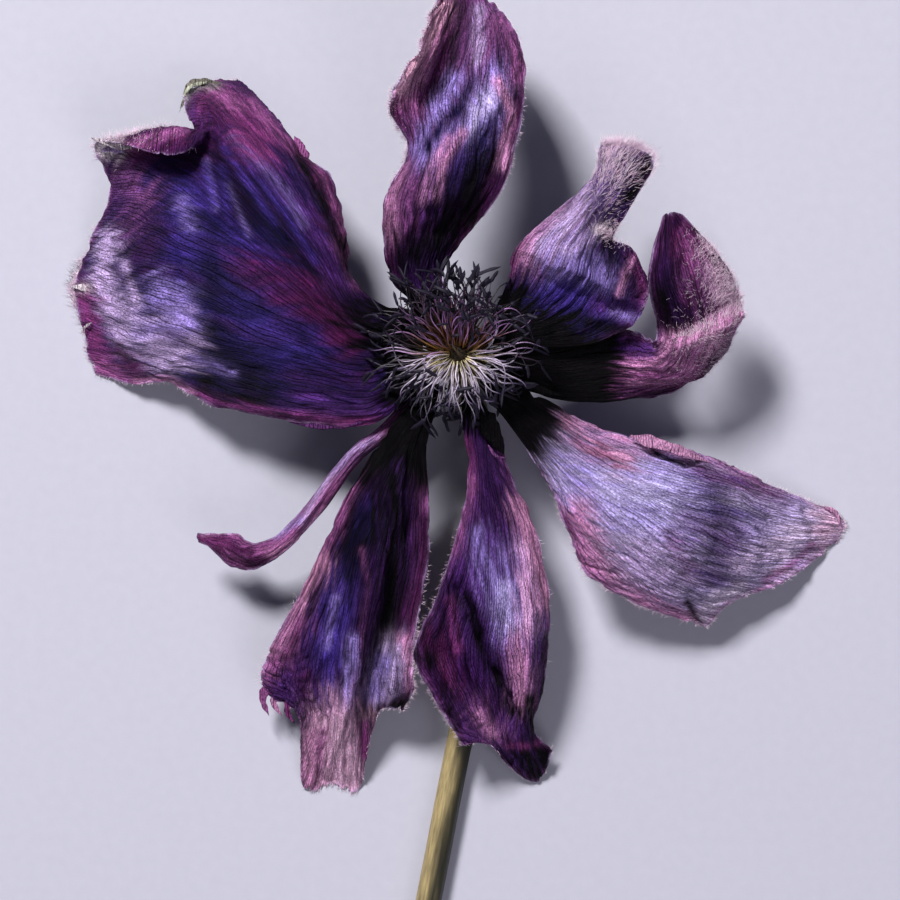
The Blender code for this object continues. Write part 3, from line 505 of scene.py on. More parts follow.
# Top tepal: a narrow blade that rises from its claw, twists in an S and has its left margin rolled up.
# It grew out of the receptacle between the left and the upper right tepal, and dried in deep pleats.
TOP_LINES = [
    [(-1.6, 3.2, 10.8), (-6.3, 6.6, 11.6), (-7.4, 11.0, 13.6), (-7.2, 15.4, 15.8),
     (-5.0, 19.8, 17.4), (-6.6, 24.4, 20.2), (-4.0, 29.9, 18.8), (-2.2, 34.9, 13.6)],
    [(-1.3, 3.35, 10.9), (-5.4, 6.6, 11.9), (-5.8, 11.0, 14.2), (-5.2, 15.8, 16.8),
     (-3.8, 20.4, 18.0), (-4.3, 24.9, 17.8), (-2.4, 30.1, 16.2), (-1.1, 35.5, 11.6)],
    [(-0.9, 3.5, 11.0), (-4.4, 6.6, 12.1), (-4.0, 11.2, 14.6), (-2.8, 16.4, 17.8),
     (-2.2, 21.4, 17.8), (-2.2, 25.6, 15.8), (-0.8, 30.8, 14.0), (0.2, 36.2, 10.4)],
    [(-0.5, 3.55, 11.0), (-3.4, 6.7, 12.1), (-2.3, 11.4, 14.6), (-0.4, 16.8, 17.8),
     (0.2, 21.8, 18.4), (0.3, 26.2, 17.0), (1.0, 31.2, 15.0), (1.2, 36.2, 10.8)],
    [(-0.2, 3.55, 11.0), (-2.6, 6.9, 11.9), (-1.2, 11.4, 14.0), (1.6, 16.4, 16.6),
     (2.6, 21.6, 17.6), (2.9, 26.4, 18.0), (2.9, 31.4, 16.4), (2.2, 36.0, 11.2)],
    [(0.1, 3.5, 10.9), (-2.0, 7.1, 11.6), (0.0, 11.4, 13.4), (3.0, 15.8, 15.6),
     (4.5, 20.8, 16.2), (5.0, 26.4, 17.6), (4.7, 31.3, 16.0), (2.8, 35.3, 11.0)],
    [(0.4, 3.4, 10.8), (-1.5, 7.4, 11.4), (0.9, 11.4, 13.2), (4.0, 15.4, 15.8),
     (5.8, 20.4, 17.2), (6.6, 26.4, 16.4), (6.1, 31.2, 14.4), (3.5, 34.9, 10.4)],
]

top = grow_tepal(
    "tepal_top", TOP_LINES, (140, 152), 47, ground=PLUM, folds=(8, 0.4), pleat=0.2, crinkle=0.2,
    rim=(MAGENTA, 0.9, 0.7), claw=(SHADOW_BLACK, 5.5),
    # painted light: the darkest blue and shadow-black washes are painted shade down the valleys and at the
    # claw, and the lavender band, pink ridges and pink left rim are bleach and painted highlight both
    washes=[
        (ROSE, 0.9, 2.0, (-1.6, 32.6, -3.0, 28.6, -4.7, 24.7)),
        (BURGUNDY, 0.9, 1.0, (-0.6, 32.6, -1.6, 28.6, -3.2, 24.7)),
        (SHADOW_BLACK, 0.95, 0.7, (0.2, 34.5, -0.8, 27.8, -2.0, 25.5, -3.0, 24.3)),
        (MAUVE, 0.85, 2.0, (2.6, 34.5, 2.6, 30.1, 2.0, 26.7)), (LILAC, 0.6, 0.6, (2.1, 34.0, 2.0, 28.6)),
        (ROSE, 0.6, 1.8, (-2.8, 21.7, -4.0, 18.3, -4.7, 13.9)),
        (PURPLE, 0.8, 2.2, (-1.8, 19.8, -2.8, 14.8)),
        (LAVENDER, 0.9, 1.7, (3.8, 26.7, 2.6, 23.7, 0.9, 20.9)),
        ("#d2c2fa", 0.9, 1.0, (3.3, 25.1, 1.6, 21.7)), (LAVENDER, 0.7, 0.9, (-1.8, 20.8, -3.4, 18.3)),
        (LAVENDER, 0.85, 0.9, (-0.3, 26.7, -1.6, 24.2, -3.0, 21.9, -3.8, 19.8)),
        ("#4a3486", 0.7, 1.1, (2.7, 22.3, 1.0, 19.6, -0.8, 15.8)),
        ("#1a1340", 0.8, 0.6, (1.3, 26.3, 0.3, 24.0, -1.6, 22.3, -3.0, 19.8)),
        (PINK, 0.8, 0.5, (0.4, 21.3, -1.5, 18.3, -2.2, 15.0)),
        (PINK, 0.6, 0.5, (-1.0, 20.8, -2.8, 17.8, -3.4, 14.8)),
        (PINK, 0.75, 1.0, (-5.7, 18.3, -6.7, 15.3, -7.2, 11.7)),
        ("#1a1340", 0.95, 2.0, (3.3, 19.6, 1.7, 17.0)),
        (SHADOW_BLACK, 0.85, 1.6, (2.9, 18.6, 0.8, 15.8, -0.8, 14.3)),
        (BURGUNDY, 0.7, 1.0, (3.5, 16.8, 2.2, 14.3, 0.4, 12.4)),
        (SHADOW_BLACK, 1.0, 2.8, (0.4, 13.5, -1.8, 11.3, -4.5, 9.3)), (PURPLE, 0.6, 1.6, (-1.8, 8.1, -4.2, 7.0)),
        (MAUVE, 0.8, 0.7, (-5.4, 22.9, -4.7, 21.3)),
        (PINK, 0.9, 0.6, (4.0, 26.4, 5.3, 23.5, 4.9, 20.8, 4.4, 18.3)),
        (BURGUNDY, 0.95, 0.9, (6.5, 29.1, 6.5, 23.7, 5.9, 20.8)),
        (ROSE, 0.8, 1.0, (4.1, 32.6, 5.5, 29.6, 5.9, 26.7)),
        ("#ffc0de", 0.97, 0.9, (-1.6, 34.4, -2.7, 31.8, -3.6, 29.6, -4.9, 26.9, -6.2, 24.7)),
        (MAGENTA, 0.9, 0.8, (-6.0, 24.3, -6.1, 23.1)),
    ],
    creases=[
        (-0.8, 0.9, (0.6, 34.5, -0.5, 27.8, -2.0, 25.7)),
        (-0.6, 0.9, (1.3, 26.7, 0.3, 24.0, -1.8, 22.3, -2.8, 20.0)),
        (0.6, 0.6, (0.8, 29.1, -0.6, 25.5, -2.4, 22.7)), (0.65, 0.6, (0.4, 21.3, -1.5, 18.3, -2.1, 15.0)),
        (0.5, 0.5, (-1.0, 20.8, -2.7, 18.0, -3.3, 14.8)), (0.4, 0.4, (2.1, 34.2, 2.2, 28.6)),
        (0.35, 0.35, (3.2, 33.6, 3.6, 28.4)), (-0.4, 0.4, (2.7, 33.6, 2.9, 27.7)),
        (0.7, 0.5, (4.0, 26.4, 5.3, 23.5, 4.9, 20.8, 4.4, 18.3)),
        (0.6, 0.4, (-1.8, 34.4, -3.1, 31.8, -4.0, 29.6, -5.1, 26.9, -6.3, 24.9)),
        (-0.5, 0.9, (0.2, 13.7, -2.2, 11.7)), (0.4, 0.8, (4.1, 25.5, 2.2, 21.9)),
        (-0.4, 0.5, (-0.2, 22.7, -2.0, 19.8, -3.0, 15.8)),
    ],
)

# Upper right tepal: a short blade that folds back on itself at the end, so that its hairy back shows.
# The back carries the long silky hairs that stood outside on the bud, and its skin is dark there, with
# painted shadow on its right side.
UPPER_RIGHT_LINES = [
    [(2.6, 2.4, 11.0), (4.7, 6.4, 12.2), (5.4, 9.6, 14.2), (7.2, 11.8, 14.8),
     (10.1, 14.3, 14.4), (13.2, 17.3, 13.8), (14.2, 20.4, 13.6)],
    [(2.8, 2.15, 11.0), (6.4, 5.8, 12.6), (8.2, 9.0, 14.8), (10.0, 11.6, 15.2),
     (12.2, 14.0, 14.6), (14.6, 17.1, 14.8), (16.2, 20.4, 13.8)],
    [(3.0, 1.9, 11.0), (8.0, 5.0, 12.3), (10.4, 8.0, 14.6), (12.0, 11.0, 15.0),
     (13.4, 13.5, 14.6), (15.7, 16.5, 15.2), (18.2, 20.0, 13.6)],
    [(3.15, 1.65, 11.0), (9.0, 4.3, 11.9), (11.6, 7.1, 13.9), (12.9, 10.4, 14.8),
     (13.9, 12.8, 14.6), (16.1, 15.7, 14.8), (19.4, 18.6, 13.2)],
    [(3.25, 1.4, 11.0), (9.8, 3.6, 11.6), (12.5, 6.2, 13.2), (13.6, 9.2, 14.2),
     (14.4, 11.3, 14.2), (15.4, 12.9, 14.0), (17.0, 14.1, 13.8)],
    [(3.35, 1.15, 11.0), (10.6, 2.8, 11.3), (13.4, 5.2, 12.5), (14.3, 7.5, 13.5),
     (14.8, 9.2, 13.7), (15.1, 10.3, 13.7), (15.4, 11.3, 13.7)],
    [(3.45, 0.9, 11.0), (11.4, 1.8, 11.1), (14.8, 3.8, 11.9), (15.9, 5.7, 12.6),
     (16.5, 7.4, 13.0), (16.9, 9.0, 13.2), (17.2, 10.3, 13.2)],
    [(3.5, 0.65, 11.0), (12.0, 0.6, 10.8), (16.1, 1.9, 11.3), (17.9, 3.2, 11.6),
     (18.7, 4.6, 11.8), (19.1, 6.0, 12.0), (18.8, 7.5, 12.2)],
]

upper_right = grow_tepal(
    "tepal_upper_right", UPPER_RIGHT_LINES, (150, 108), 83, ground="#1f174e", folds=(9, 0.25), pleat=0.14,
    crinkle=0.2, rim=(MAGENTA, 0.7, 0.5), claw=(SHADOW_BLACK, 4.5),
    # painted light: pink, lilac and lavender above the fold are bleach and painted highlight both, and the
    # shadow black below it, at the claw and right of the hairy tip is painted shadow
    washes=[
        ("#40328c", 0.8, 1.8, (9.2, 6.7, 13.2, 4.7)), (PINK, 0.9, 2.0, (6.2, 10.2, 8.7, 11.4, 10.2, 13.0)),
        (LILAC, 0.95, 1.8, (9.0, 10.6, 11.4, 13.8, 13.4, 16.8)),
        (LAVENDER, 0.95, 1.8, (10.4, 9.0, 12.2, 9.8, 14.6, 7.6)),
        (LILAC, 0.8, 0.8, (10.8, 10.0, 13.6, 11.2)), (VIOLET, 0.6, 0.7, (9.8, 6.0, 13.2, 4.8, 15.6, 3.4)),
        (SHADOW_BLACK, 0.7, 1.0, (12.2, 3.2, 16.2, 1.6)), (PLUM, 0.9, 2.0, (15.6, 10.2, 17.2, 7.7, 17.8, 5.2)),
        (MAGENTA, 0.7, 0.7, (17.6, 9.4, 18.2, 6.7, 19.0, 4.2)),
        (PINK, 0.7, 0.4, (17.3, 9.0, 16.6, 7.6, 15.9, 5.8)),
        (PURPLE, 0.9, 1.0, (14.2, 4.6, 17.2, 3.8, 19.0, 3.0)), (LAVENDER, 0.6, 0.5, (15.4, 4.0, 18.2, 3.2)),
        (PLUM, 0.7, 1.3, (14.4, 13.0, 16.4, 14.4)), (SHADOW_BLACK, 0.7, 0.6, (14.6, 12.0, 15.4, 9.0)),
        ("#66498a", 0.9, 1.8, (15.2, 20.2, 14.4, 17.2, 15.4, 15.6)),
        (SHADOW_BLACK, 0.95, 0.9, (19.2, 19.4, 18.2, 17.2, 17.0, 15.6)), (CREAM, 0.8, 0.5, (13.8, 12.0, 14.3, 12.2)),
        (SHADOW_BLACK, 0.9, 1.4, (5.0, 4.6, 8.7, 1.6, 13.2, 0.2)),
        (MAGENTA, 0.8, 0.7, (5.3, 8.2, 5.4, 10.2, 6.4, 11.4)),
        (SHADOW_BLACK, 0.7, 0.6, (13.2, 3.0, 16.2, 2.2, 18.2, 1.8)),
    ],
    creases=[
        (0.8, 0.8, (6.3, 10.2, 9.8, 8.6, 13.6, 7.1, 16.4, 5.4)),
        (-0.35, 0.5, (8.2, 7.4, 13.2, 5.2, 16.7, 3.8)), (0.5, 0.5, (14.2, 20.2, 13.9, 16.7, 13.8, 13.0)),
        (-0.6, 0.4, (13.5, 18.2, 13.3, 14.7, 13.2, 12.6)), (0.5, 0.35, (13.6, 11.8, 12.2, 8.0)),
        (-0.4, 0.35, (13.6, 11.2, 13.2, 8.2)), (0.5, 0.35, (13.9, 11.4, 14.4, 7.6)),
        (0.4, 0.3, (13.4, 11.6, 10.6, 9.0)), (0.45, 0.5, (17.4, 9.2, 15.9, 5.8)),
        (0.4, 0.5, (11.4, 2.6, 14.7, 3.4, 18.2, 2.2)), (-0.4, 0.4, (14.6, 11.4, 15.4, 9.0)),
    ],
)

# Right tepal: it curls up at its end and back over itself into a cup, whose hairy back faces out.
# It grew out of the receptacle's right side, and its margin dried first and drew the blade together.
RIGHT_LINES = [
    [(3.5, 0.3, 10.7), (9.5, 1.1, 9.6), (14.8, 2.0, 9.4), (17.0, 2.2, 9.8), (18.6, 1.6, 10.4),
     (19.5, 1.0, 11.8), (19.8, 2.8, 11.8), (18.7, 7.4, 16.0), (20.2, 13.3, 15.8)],
    [(3.45, -0.4, 10.7), (9.8, -1.4, 9.0), (15.4, -0.9, 8.7), (18.4, -1.4, 8.9), (20.6, -1.0, 9.8),
     (21.9, 1.1, 12.4), (22.3, 3.0, 11.4), (20.7, 7.9, 15.0), (20.6, 13.6, 15.8)],
    [(3.4, -0.85, 10.7), (10.0, -2.8, 8.6), (16.0, -2.4, 8.0), (19.6, -2.6, 8.1), (22.6, -1.7, 9.2),
     (24.2, 1.5, 12.2), (24.5, 3.8, 11.2), (22.9, 8.6, 14.2), (21.1, 13.7, 15.7)],
    [(3.3, -1.3, 10.7), (10.0, -3.9, 8.2), (16.7, -3.8, 7.2), (20.9, -3.4, 7.2), (24.6, -1.8, 8.2),
     (26.4, 2.2, 11.4), (26.5, 4.8, 11.0), (24.9, 9.2, 13.4), (21.6, 13.7, 15.5)],
    [(3.2, -1.7, 10.6), (9.8, -4.7, 7.8), (17.2, -4.8, 6.4), (22.2, -3.8, 6.2), (26.4, -0.9, 7.2),
     (28.3, 3.2, 10.0), (28.2, 5.4, 10.4), (26.4, 9.0, 12.4), (22.2, 13.5, 15.2)],
]

right = grow_tepal(
    "tepal_right", RIGHT_LINES, (124, 150), 129, ground=PLUM, folds=(6, 0.25), pleat=0.16,
    rim=(MAGENTA, 0.6, 0.5), claw=(SHADOW_BLACK, 12.5), bite=0.15,
    # painted light: shadow black in the cup's hollow and along the lower edge is painted shade, and the pink
    # along the lit crest is colour and painted highlight both
    washes=[
        (MAROON, 0.7, 0.8, (21.5, 11.7, 21.5, 9.9)),
        (MAGENTA, 0.8, 0.8, (22.7, 12.3, 22.9, 7.4, 23.1, 5.5)),
        (ROSE, 0.95, 1.8, (23.8, 9.9, 25.4, 7.0, 26.6, 4.2)), (MAUVE, 0.7, 1.0, (22.9, 7.0, 24.8, 4.4)),
        (SHADOW_BLACK, 0.95, 1.3, (20.1, 5.0, 20.7, 2.5, 22.7, 1.8)),
        (SHADOW_BLACK, 0.9, 0.8, (24.2, 12.3, 26.6, 9.1, 28.4, 5.0, 28.6, 2.5)),
        (PINK, 0.95, 1.1, (28.2, 3.7, 24.4, 1.5, 21.4, 0.4, 19.9, -0.6)),
        (PINK, 0.9, 1.3, (21.0, 0.0, 23.7, 0.0, 25.7, 0.7)), ("#d0a0cc", 0.6, 0.9, (25.0, 8.1, 26.8, 5.0)),
        (ROSE, 0.95, 1.7, (15.7, -2.4, 19.2, -2.0, 23.2, -2.0)),
        (PINK, 0.7, 0.6, (16.7, -1.6, 20.2, -1.2, 23.4, -1.4)),
        (PINK, 0.6, 0.4, (17.2, -3.0, 20.7, -3.0, 23.2, -2.4)),
        (SHADOW_BLACK, 0.95, 0.9, (11.7, -4.6, 16.2, -5.1, 20.2, -4.9, 23.2, -3.9)),
        (SHADOW_BLACK, 0.85, 1.1, (28.0, 1.0, 26.4, -1.2, 24.4, -3.0)), (PURPLE, 0.9, 0.9, (15.7, 0.8, 19.2, 0.2)),
    ],
    creases=[
        (0.6, 0.5, (28.2, 3.7, 24.4, 1.5, 21.4, 0.4, 19.9, -0.8)),
        (-0.6, 0.6, (26.8, 4.8, 23.8, 2.8, 21.1, 1.6)), (0.4, 0.5, (22.9, 11.7, 23.4, 7.4, 25.3, 4.5)),
        (-0.3, 0.4, (22.2, 11.3, 21.9, 6.0)), (0.4, 0.5, (16.2, -1.4, 20.2, -1.2, 23.7, -1.4)),
        (-0.4, 0.5, (15.2, -3.6, 19.2, -3.8, 23.2, -3.0)),
        (0.35, 0.3, (16.0, -2.6, 20.2, -2.6, 23.4, -2.2)),
    ],
)

# Lower right tepal: a broad flat blade, bleached in the middle, torn at its upper margin.
# It is the same thin skin as the others, with its pleats pressed flat, and it grew below the right one.
LOWER_RIGHT_LINES = [
    [(2.8, -2.2, 10.8), (8.6, -4.6, 9.8), (13.4, -7.2, 9.2), (19.4, -9.0, 9.0),
     (25.6, -10.4, 7.4), (32.4, -13.6, 3.8), (38.8, -16.2, 0.1)],
    [(2.6, -2.5, 10.9), (8.2, -6.0, 10.2), (13.4, -9.6, 10.0), (19.2, -12.0, 10.4),
     (25.4, -14.0, 9.0), (32.0, -16.4, 4.8), (39.6, -17.9, 0.0)],
    [(2.4, -2.7, 10.9), (7.6, -7.0, 10.4), (12.8, -11.4, 10.4), (18.2, -14.8, 11.0),
     (24.0, -17.6, 9.6), (30.2, -19.8, 5.8), (37.6, -20.2, 0.4)],
    [(2.2, -2.9, 10.9), (6.8, -7.8, 10.4), (11.4, -12.8, 10.4), (16.0, -17.0, 11.0),
     (21.2, -20.4, 9.6), (26.6, -22.6, 6.4), (32.4, -23.5, 2.6)],
    [(2.0, -3.1, 10.8), (6.0, -8.2, 10.0), (10.0, -13.4, 9.6), (13.4, -18.0, 10.2),
     (17.6, -21.8, 9.0), (22.2, -24.6, 6.6), (27.6, -25.4, 3.8)],
    [(1.8, -3.2, 10.7), (5.6, -7.8, 9.5), (8.9, -12.8, 8.6), (10.9, -17.6, 8.4),
     (13.0, -22.4, 7.6), (18.2, -25.4, 5.6), (25.2, -27.9, 3.0)],
]

lower_right = grow_tepal(
    "tepal_lower_right", LOWER_RIGHT_LINES, (204, 144), 167, ground="#c0b0dc", folds=(9, 0.3), crinkle=0.22,
    rim=(PINK, 0.9, 0.9), claw=(SHADOW_BLACK, 11.5), bite=0.6,
    # painted light: the pale lavender in the middle is bleach and partly painted highlight, and the shadow
    # black at the claw and along the slit is painted shadow
    washes=[
        ("#b8a4ff", 0.95, 4.0, (14.2, -12.0, 20.7, -14.8)),
        ("#d4c8ff", 0.95, 2.8, (16.2, -13.0, 21.4, -15.2)),
        ("#c088b0", 0.9, 1.5, (11.0, -7.2, 14.2, -9.4, 16.7, -11.0)),
        ("#84486c", 0.6, 0.5, (11.8, -8.8, 14.6, -10.8)),
        (PINK, 0.7, 1.3, (11.7, -6.6, 16.2, -8.2, 19.2, -9.0)),
        ("#84486c", 0.5, 0.4, (14.0, -8.8, 15.8, -11.4)),
        (MAUVE, 0.8, 1.2, (24.2, -11.6, 28.7, -13.0, 33.2, -14.8)),
        ("#5f4f8e", 0.8, 2.6, (25.4, -14.8, 27.7, -18.8, 26.4, -21.8)),
        ("#6a4a80", 0.6, 1.6, (23.2, -16.8, 27.7, -18.8, 26.4, -21.8)),
        ("#56476f", 0.6, 1.0, (26.0, -14.0, 27.0, -16.8, 25.6, -20.4)),
        ("#7a6a9c", 0.6, 1.4, (30.4, -16.3, 29.4, -20.8)), (MAUVE, 0.6, 1.2, (21.2, -18.8, 23.2, -21.8)),
        ("#cfbafa", 0.9, 2.6, (32.7, -19.3, 35.2, -16.3)),
        ("#eed6ff", 0.9, 1.7, (32.7, -20.8, 34.2, -18.3, 37.4, -16.8)),
        ("#ffd0f6", 0.97, 1.3, (37.2, -15.2, 38.4, -16.8, 37.4, -18.6)),
        (MAGENTA, 0.9, 1.0, (10.2, -16.3, 11.0, -19.3, 12.4, -22.0)),
        (ROSE, 0.8, 0.9, (11.7, -16.8, 13.2, -20.8, 15.4, -24.0)),
        (PINK, 0.8, 1.3, (12.2, -15.8, 14.2, -20.8, 18.2, -24.8)),
        (MAROON, 0.7, 0.5, (10.8, -16.8, 12.0, -20.8)), (LILAC, 0.9, 2.0, (18.2, -20.8, 21.2, -23.6)),
        (PINK, 0.9, 1.0, (18.2, -25.0, 23.7, -27.2)),
        ("#e6d4f4", 0.8, 0.9, (24.9, -26.8, 26.4, -24.8, 28.7, -23.8)),
        (SHADOW_BLACK, 0.8, 0.35, (23.2, -25.2, 24.6, -27.4)), (PINK, 0.95, 0.8, (19.7, -8.8, 23.2, -10.0)),
        (SHADOW_BLACK, 0.97, 0.25, (19.5, -9.8, 20.6, -10.6, 22.8, -11.3, 24.4, -10.8)),
        (ROSE, 0.6, 0.5, (31.2, -23.0, 34.2, -21.2, 36.0, -19.6)),
        ("#e8cdf8", 0.7, 1.2, (28.4, -21.4, 31.7, -20.0)), (SHADOW_BLACK, 1.0, 2.2, (5.7, -4.4, 8.7, -7.2)),
    ],
    creases=[
        (-0.3, 1.0, (25.8, -12.8, 27.0, -16.8, 25.4, -20.8)),
        (0.3, 0.9, (14.2, -10.8, 20.2, -13.8, 24.7, -14.8)), (0.5, 0.4, (19.7, -9.0, 23.7, -10.1)),
        (-0.7, 0.25, (19.5, -9.8, 20.6, -10.6, 22.8, -11.3, 24.4, -10.8)),
        (-0.25, 0.6, (14.0, -8.4, 15.8, -11.8)), (0.3, 0.4, (11.2, -15.3, 13.2, -20.8)),
        (-0.3, 0.4, (12.0, -14.8, 14.4, -20.8)), (0.3, 0.4, (13.0, -14.8, 15.4, -21.3)),
        (-0.25, 0.5, (14.0, -16.0, 16.7, -22.3)), (0.3, 0.6, (28.2, -14.8, 30.2, -18.8, 29.4, -22.3)),
        (-0.5, 0.5, (23.2, -24.6, 24.7, -27.8)), (0.4, 0.6, (24.2, -23.8, 26.4, -25.4)),
        (-0.3, 0.6, (31.2, -16.8, 33.2, -20.8)), (0.35, 0.4, (34.2, -15.3, 35.4, -18.8)),
        (0.25, 0.6, (18.2, -16.8, 22.2, -20.8)), (-0.3, 0.4, (35.4, -15.6, 36.4, -18.3)),
        (0.3, 0.4, (32.2, -16.3, 33.8, -19.8)),
    ],
)

# Bottom tepal: it hangs over the stem, with a sharp valley down its lower half and a rolled tip.
# Its claw sits on the receptacle's lower side, right above the stem, which it hides there.
BOTTOM_LINES = [
    [(1.4, -3.4, 10.6), (4.4, -8.3, 10.0), (5.0, -11.8, 9.6), (7.6, -17.2, 8.8),
     (9.2, -23.8, 8.0), (9.2, -29.4, 6.6), (8.6, -34.6, 5.2), (7.8, -38.2, 3.8), (9.7, -40.4, 2.2)],
    [(1.1, -3.5, 10.7), (3.4, -8.4, 10.6), (3.9, -12.0, 10.6), (5.8, -17.4, 10.6),
     (6.8, -24.0, 10.4), (7.0, -29.6, 9.0), (6.8, -35.0, 6.8), (6.9, -39.0, 4.4), (8.2, -43.8, 0.2)],
    [(0.8, -3.55, 10.7), (2.5, -8.4, 10.8), (2.9, -12.2, 11.0), (3.6, -17.6, 11.0),
     (3.7, -24.2, 9.6), (3.2, -30.4, 6.6), (4.4, -35.8, 4.5), (5.0, -39.4, 4.0), (5.4, -42.2, 2.0)],
    [(0.5, -3.55, 10.7), (1.5, -8.4, 10.6), (1.9, -12.2, 10.6), (1.4, -17.4, 10.2),
     (0.4, -23.8, 9.0), (-0.8, -29.8, 8.2), (0.8, -35.0, 7.0), (2.0, -38.0, 6.2), (3.0, -39.6, 5.4)],
    [(0.2, -3.5, 10.6), (0.6, -8.2, 10.2), (1.0, -12.2, 9.8), (0.0, -17.6, 9.6), (-2.0, -24.2, 10.4),
     (-4.4, -30.2, 10.6), (-2.6, -34.4, 8.8), (-1.0, -37.2, 7.4), (0.5, -39.6, 6.4)],
]

bottom = grow_tepal(
    "tepal_bottom", BOTTOM_LINES, (130, 164), 211, ground=PURPLE, folds=(6, 0.22), crinkle=0.18,
    rim=(ROSE, 0.8, 0.6), claw=(SHADOW_BLACK, 5.0),
    # painted light: the dark purple and shadow black down the valley are painted shade, and the pale pink
    # right of it is bleach and painted highlight both
    washes=[
        (PLUM, 0.9, 2.2, (2.2, -9.8, 3.7, -13.8, 3.2, -17.3)),
        (MAGENTA, 0.8, 0.7, (0.8, -8.8, 1.2, -11.4, 0.8, -13.8)),
        (LAVENDER, 0.7, 1.0, (2.0, -18.3, 3.4, -21.3, 4.4, -24.8)),
        (LAVENDER, 0.95, 1.8, (4.2, -21.3, 5.0, -24.8, 5.6, -27.8)),
        ("#c4b4f6", 0.8, 1.0, (4.7, -23.8, 5.4, -27.6)), (MAUVE, 0.8, 1.0, (0.4, -16.3, -0.3, -19.8)),
        ("#eeb6f0", 0.9, 1.2, (6.6, -19.8, 7.4, -23.8, 7.0, -27.3)),
        ("#f4aad6", 0.97, 1.2, (6.6, -15.3, 8.2, -19.3, 8.7, -24.8)),
        (PINK, 0.6, 0.4, (5.4, -14.8, 7.2, -18.8)), (PINK, 0.9, 1.2, (6.0, -28.8, 6.4, -32.8, 6.6, -35.3)),
        (ROSE, 0.8, 0.7, (1.2, -12.8, 0.8, -14.8, -0.6, -19.6)),
        (PURPLE, 0.7, 0.8, (3.0, -18.8, 4.2, -21.8)),
        ("#300e44", 0.97, 1.6, (-1.4, -23.8, -0.6, -28.8, 0.8, -32.8, 2.6, -36.0)),
        (SHADOW_BLACK, 0.95, 1.0, (0.8, -24.8, 2.2, -28.8, 3.8, -32.4, 5.6, -36.4)),
        (BURGUNDY, 0.95, 1.8, (-2.8, -28.8, -1.3, -32.8)), (MAGENTA, 0.6, 0.5, (-0.8, -24.8, 0.0, -29.8)),
        (MAGENTA, 0.5, 0.5, (-1.8, -30.8, 0.2, -34.8)), (SHADOW_BLACK, 0.9, 0.9, (-4.2, -30.3, -2.8, -31.0)),
        (SHADOW_BLACK, 0.8, 0.8, (-1.2, -33.8, -0.2, -37.8)),
        (MAUVE, 0.95, 1.3, (1.8, -36.0, 3.0, -37.8, 4.4, -38.8)),
        (PINK, 0.6, 0.6, (2.2, -36.6, 3.4, -38.6)), (SHADOW_BLACK, 0.97, 0.8, (9.2, -28.8, 8.9, -33.8, 8.0, -37.8)),
        (SHADOW_BLACK, 1.0, 2.2, (6.4, -41.0, 7.8, -42.3, 8.7, -40.8)),
        (MAGENTA, 0.8, 0.4, (5.0, -39.8, 7.2, -39.8, 9.4, -39.4)),
        (SHADOW_BLACK, 0.9, 0.7, (7.2, -34.8, 7.7, -38.3)),
    ],
    creases=[
        (-0.9, 0.8, (0.2, -23.8, 1.9, -28.8, 3.7, -32.8, 5.8, -36.8)),
        (0.6, 0.6, (1.4, -23.8, 3.2, -28.3, 5.0, -33.2, 6.6, -36.8)),
        (0.35, 0.5, (-1.0, -24.8, 0.0, -29.8, 1.2, -33.8)), (-0.3, 0.5, (-2.2, -28.8, -0.6, -33.8)),
        (0.5, 0.6, (1.6, -34.8, 4.2, -39.0)), (0.4, 0.5, (7.4, -25.8, 7.2, -30.8, 6.8, -35.8)),
        (0.4, 0.4, (-3.8, -31.0, -1.7, -35.4, -0.2, -38.6)),
        (0.3, 0.4, (4.2, -12.8, 6.2, -16.8, 7.6, -21.8)), (-0.4, 0.5, (2.8, -7.8, 3.4, -10.3)),
        (-0.4, 0.4, (8.2, -28.8, 8.0, -33.8, 7.2, -36.8)),
    ],
)

# Lower left tepal: the longest one, with sharp folds down it and a frayed tail that reaches the floor.
# Its claw sits beside the bottom tepal's, and its ragged tail has bleached to pale pink and grey.
LOWER_LEFT_LINES = [
    [(-1.2, -3.4, 10.6), (-3.0, -8.8, 10.0), (-2.9, -14.6, 9.2), (-2.9, -20.4, 8.6),
     (-4.0, -26.6, 8.8), (-4.6, -30.4, 9.0), (-4.4, -33.6, 7.8), (-5.6, -36.2, 5.8)],
    [(-1.5, -3.4, 10.7), (-4.0, -8.8, 10.4), (-4.6, -14.6, 9.6), (-5.2, -20.6, 8.6),
     (-6.2, -26.0, 7.8), (-7.0, -29.8, 7.8), (-7.7, -33.6, 6.0), (-8.2, -36.6, 4.6)],
    [(-1.7, -3.35, 10.7), (-4.5, -8.9, 10.8), (-6.0, -14.7, 10.9), (-7.2, -20.8, 10.4),
     (-8.5, -27.0, 8.8), (-9.3, -31.6, 6.8), (-9.8, -36.6, 4.0), (-10.1, -44.4, 0.2)],
    [(-1.9, -3.25, 10.7), (-5.1, -9.0, 10.9), (-7.4, -14.9, 10.8), (-9.2, -21.2, 10.0),
     (-10.6, -27.4, 8.6), (-11.3, -32.6, 7.2), (-11.8, -38.2, 4.2), (-12.8, -44.0, 0.0)],
    [(-2.1, -3.2, 10.7), (-5.6, -9.0, 10.7), (-8.8, -15.0, 10.2), (-11.2, -21.6, 9.2),
     (-12.9, -27.8, 7.8), (-13.6, -33.0, 6.2), (-14.2, -38.2, 3.8), (-15.8, -44.2, 0.2)],
    [(-2.4, -3.0, 10.7), (-6.4, -9.0, 10.5), (-10.4, -15.4, 9.8), (-13.2, -22.0, 8.8),
     (-15.6, -28.4, 7.2), (-16.6, -32.2, 6.0), (-16.8, -34.4, 5.0), (-16.3, -37.0, 3.6)],
    [(-2.7, -2.75, 10.6), (-7.5, -8.5, 10.2), (-11.9, -16.0, 9.2), (-15.0, -22.8, 8.0),
     (-18.4, -28.8, 6.2), (-19.7, -31.6, 5.0), (-20.0, -33.2, 4.2), (-19.3, -34.6, 3.4)],
]

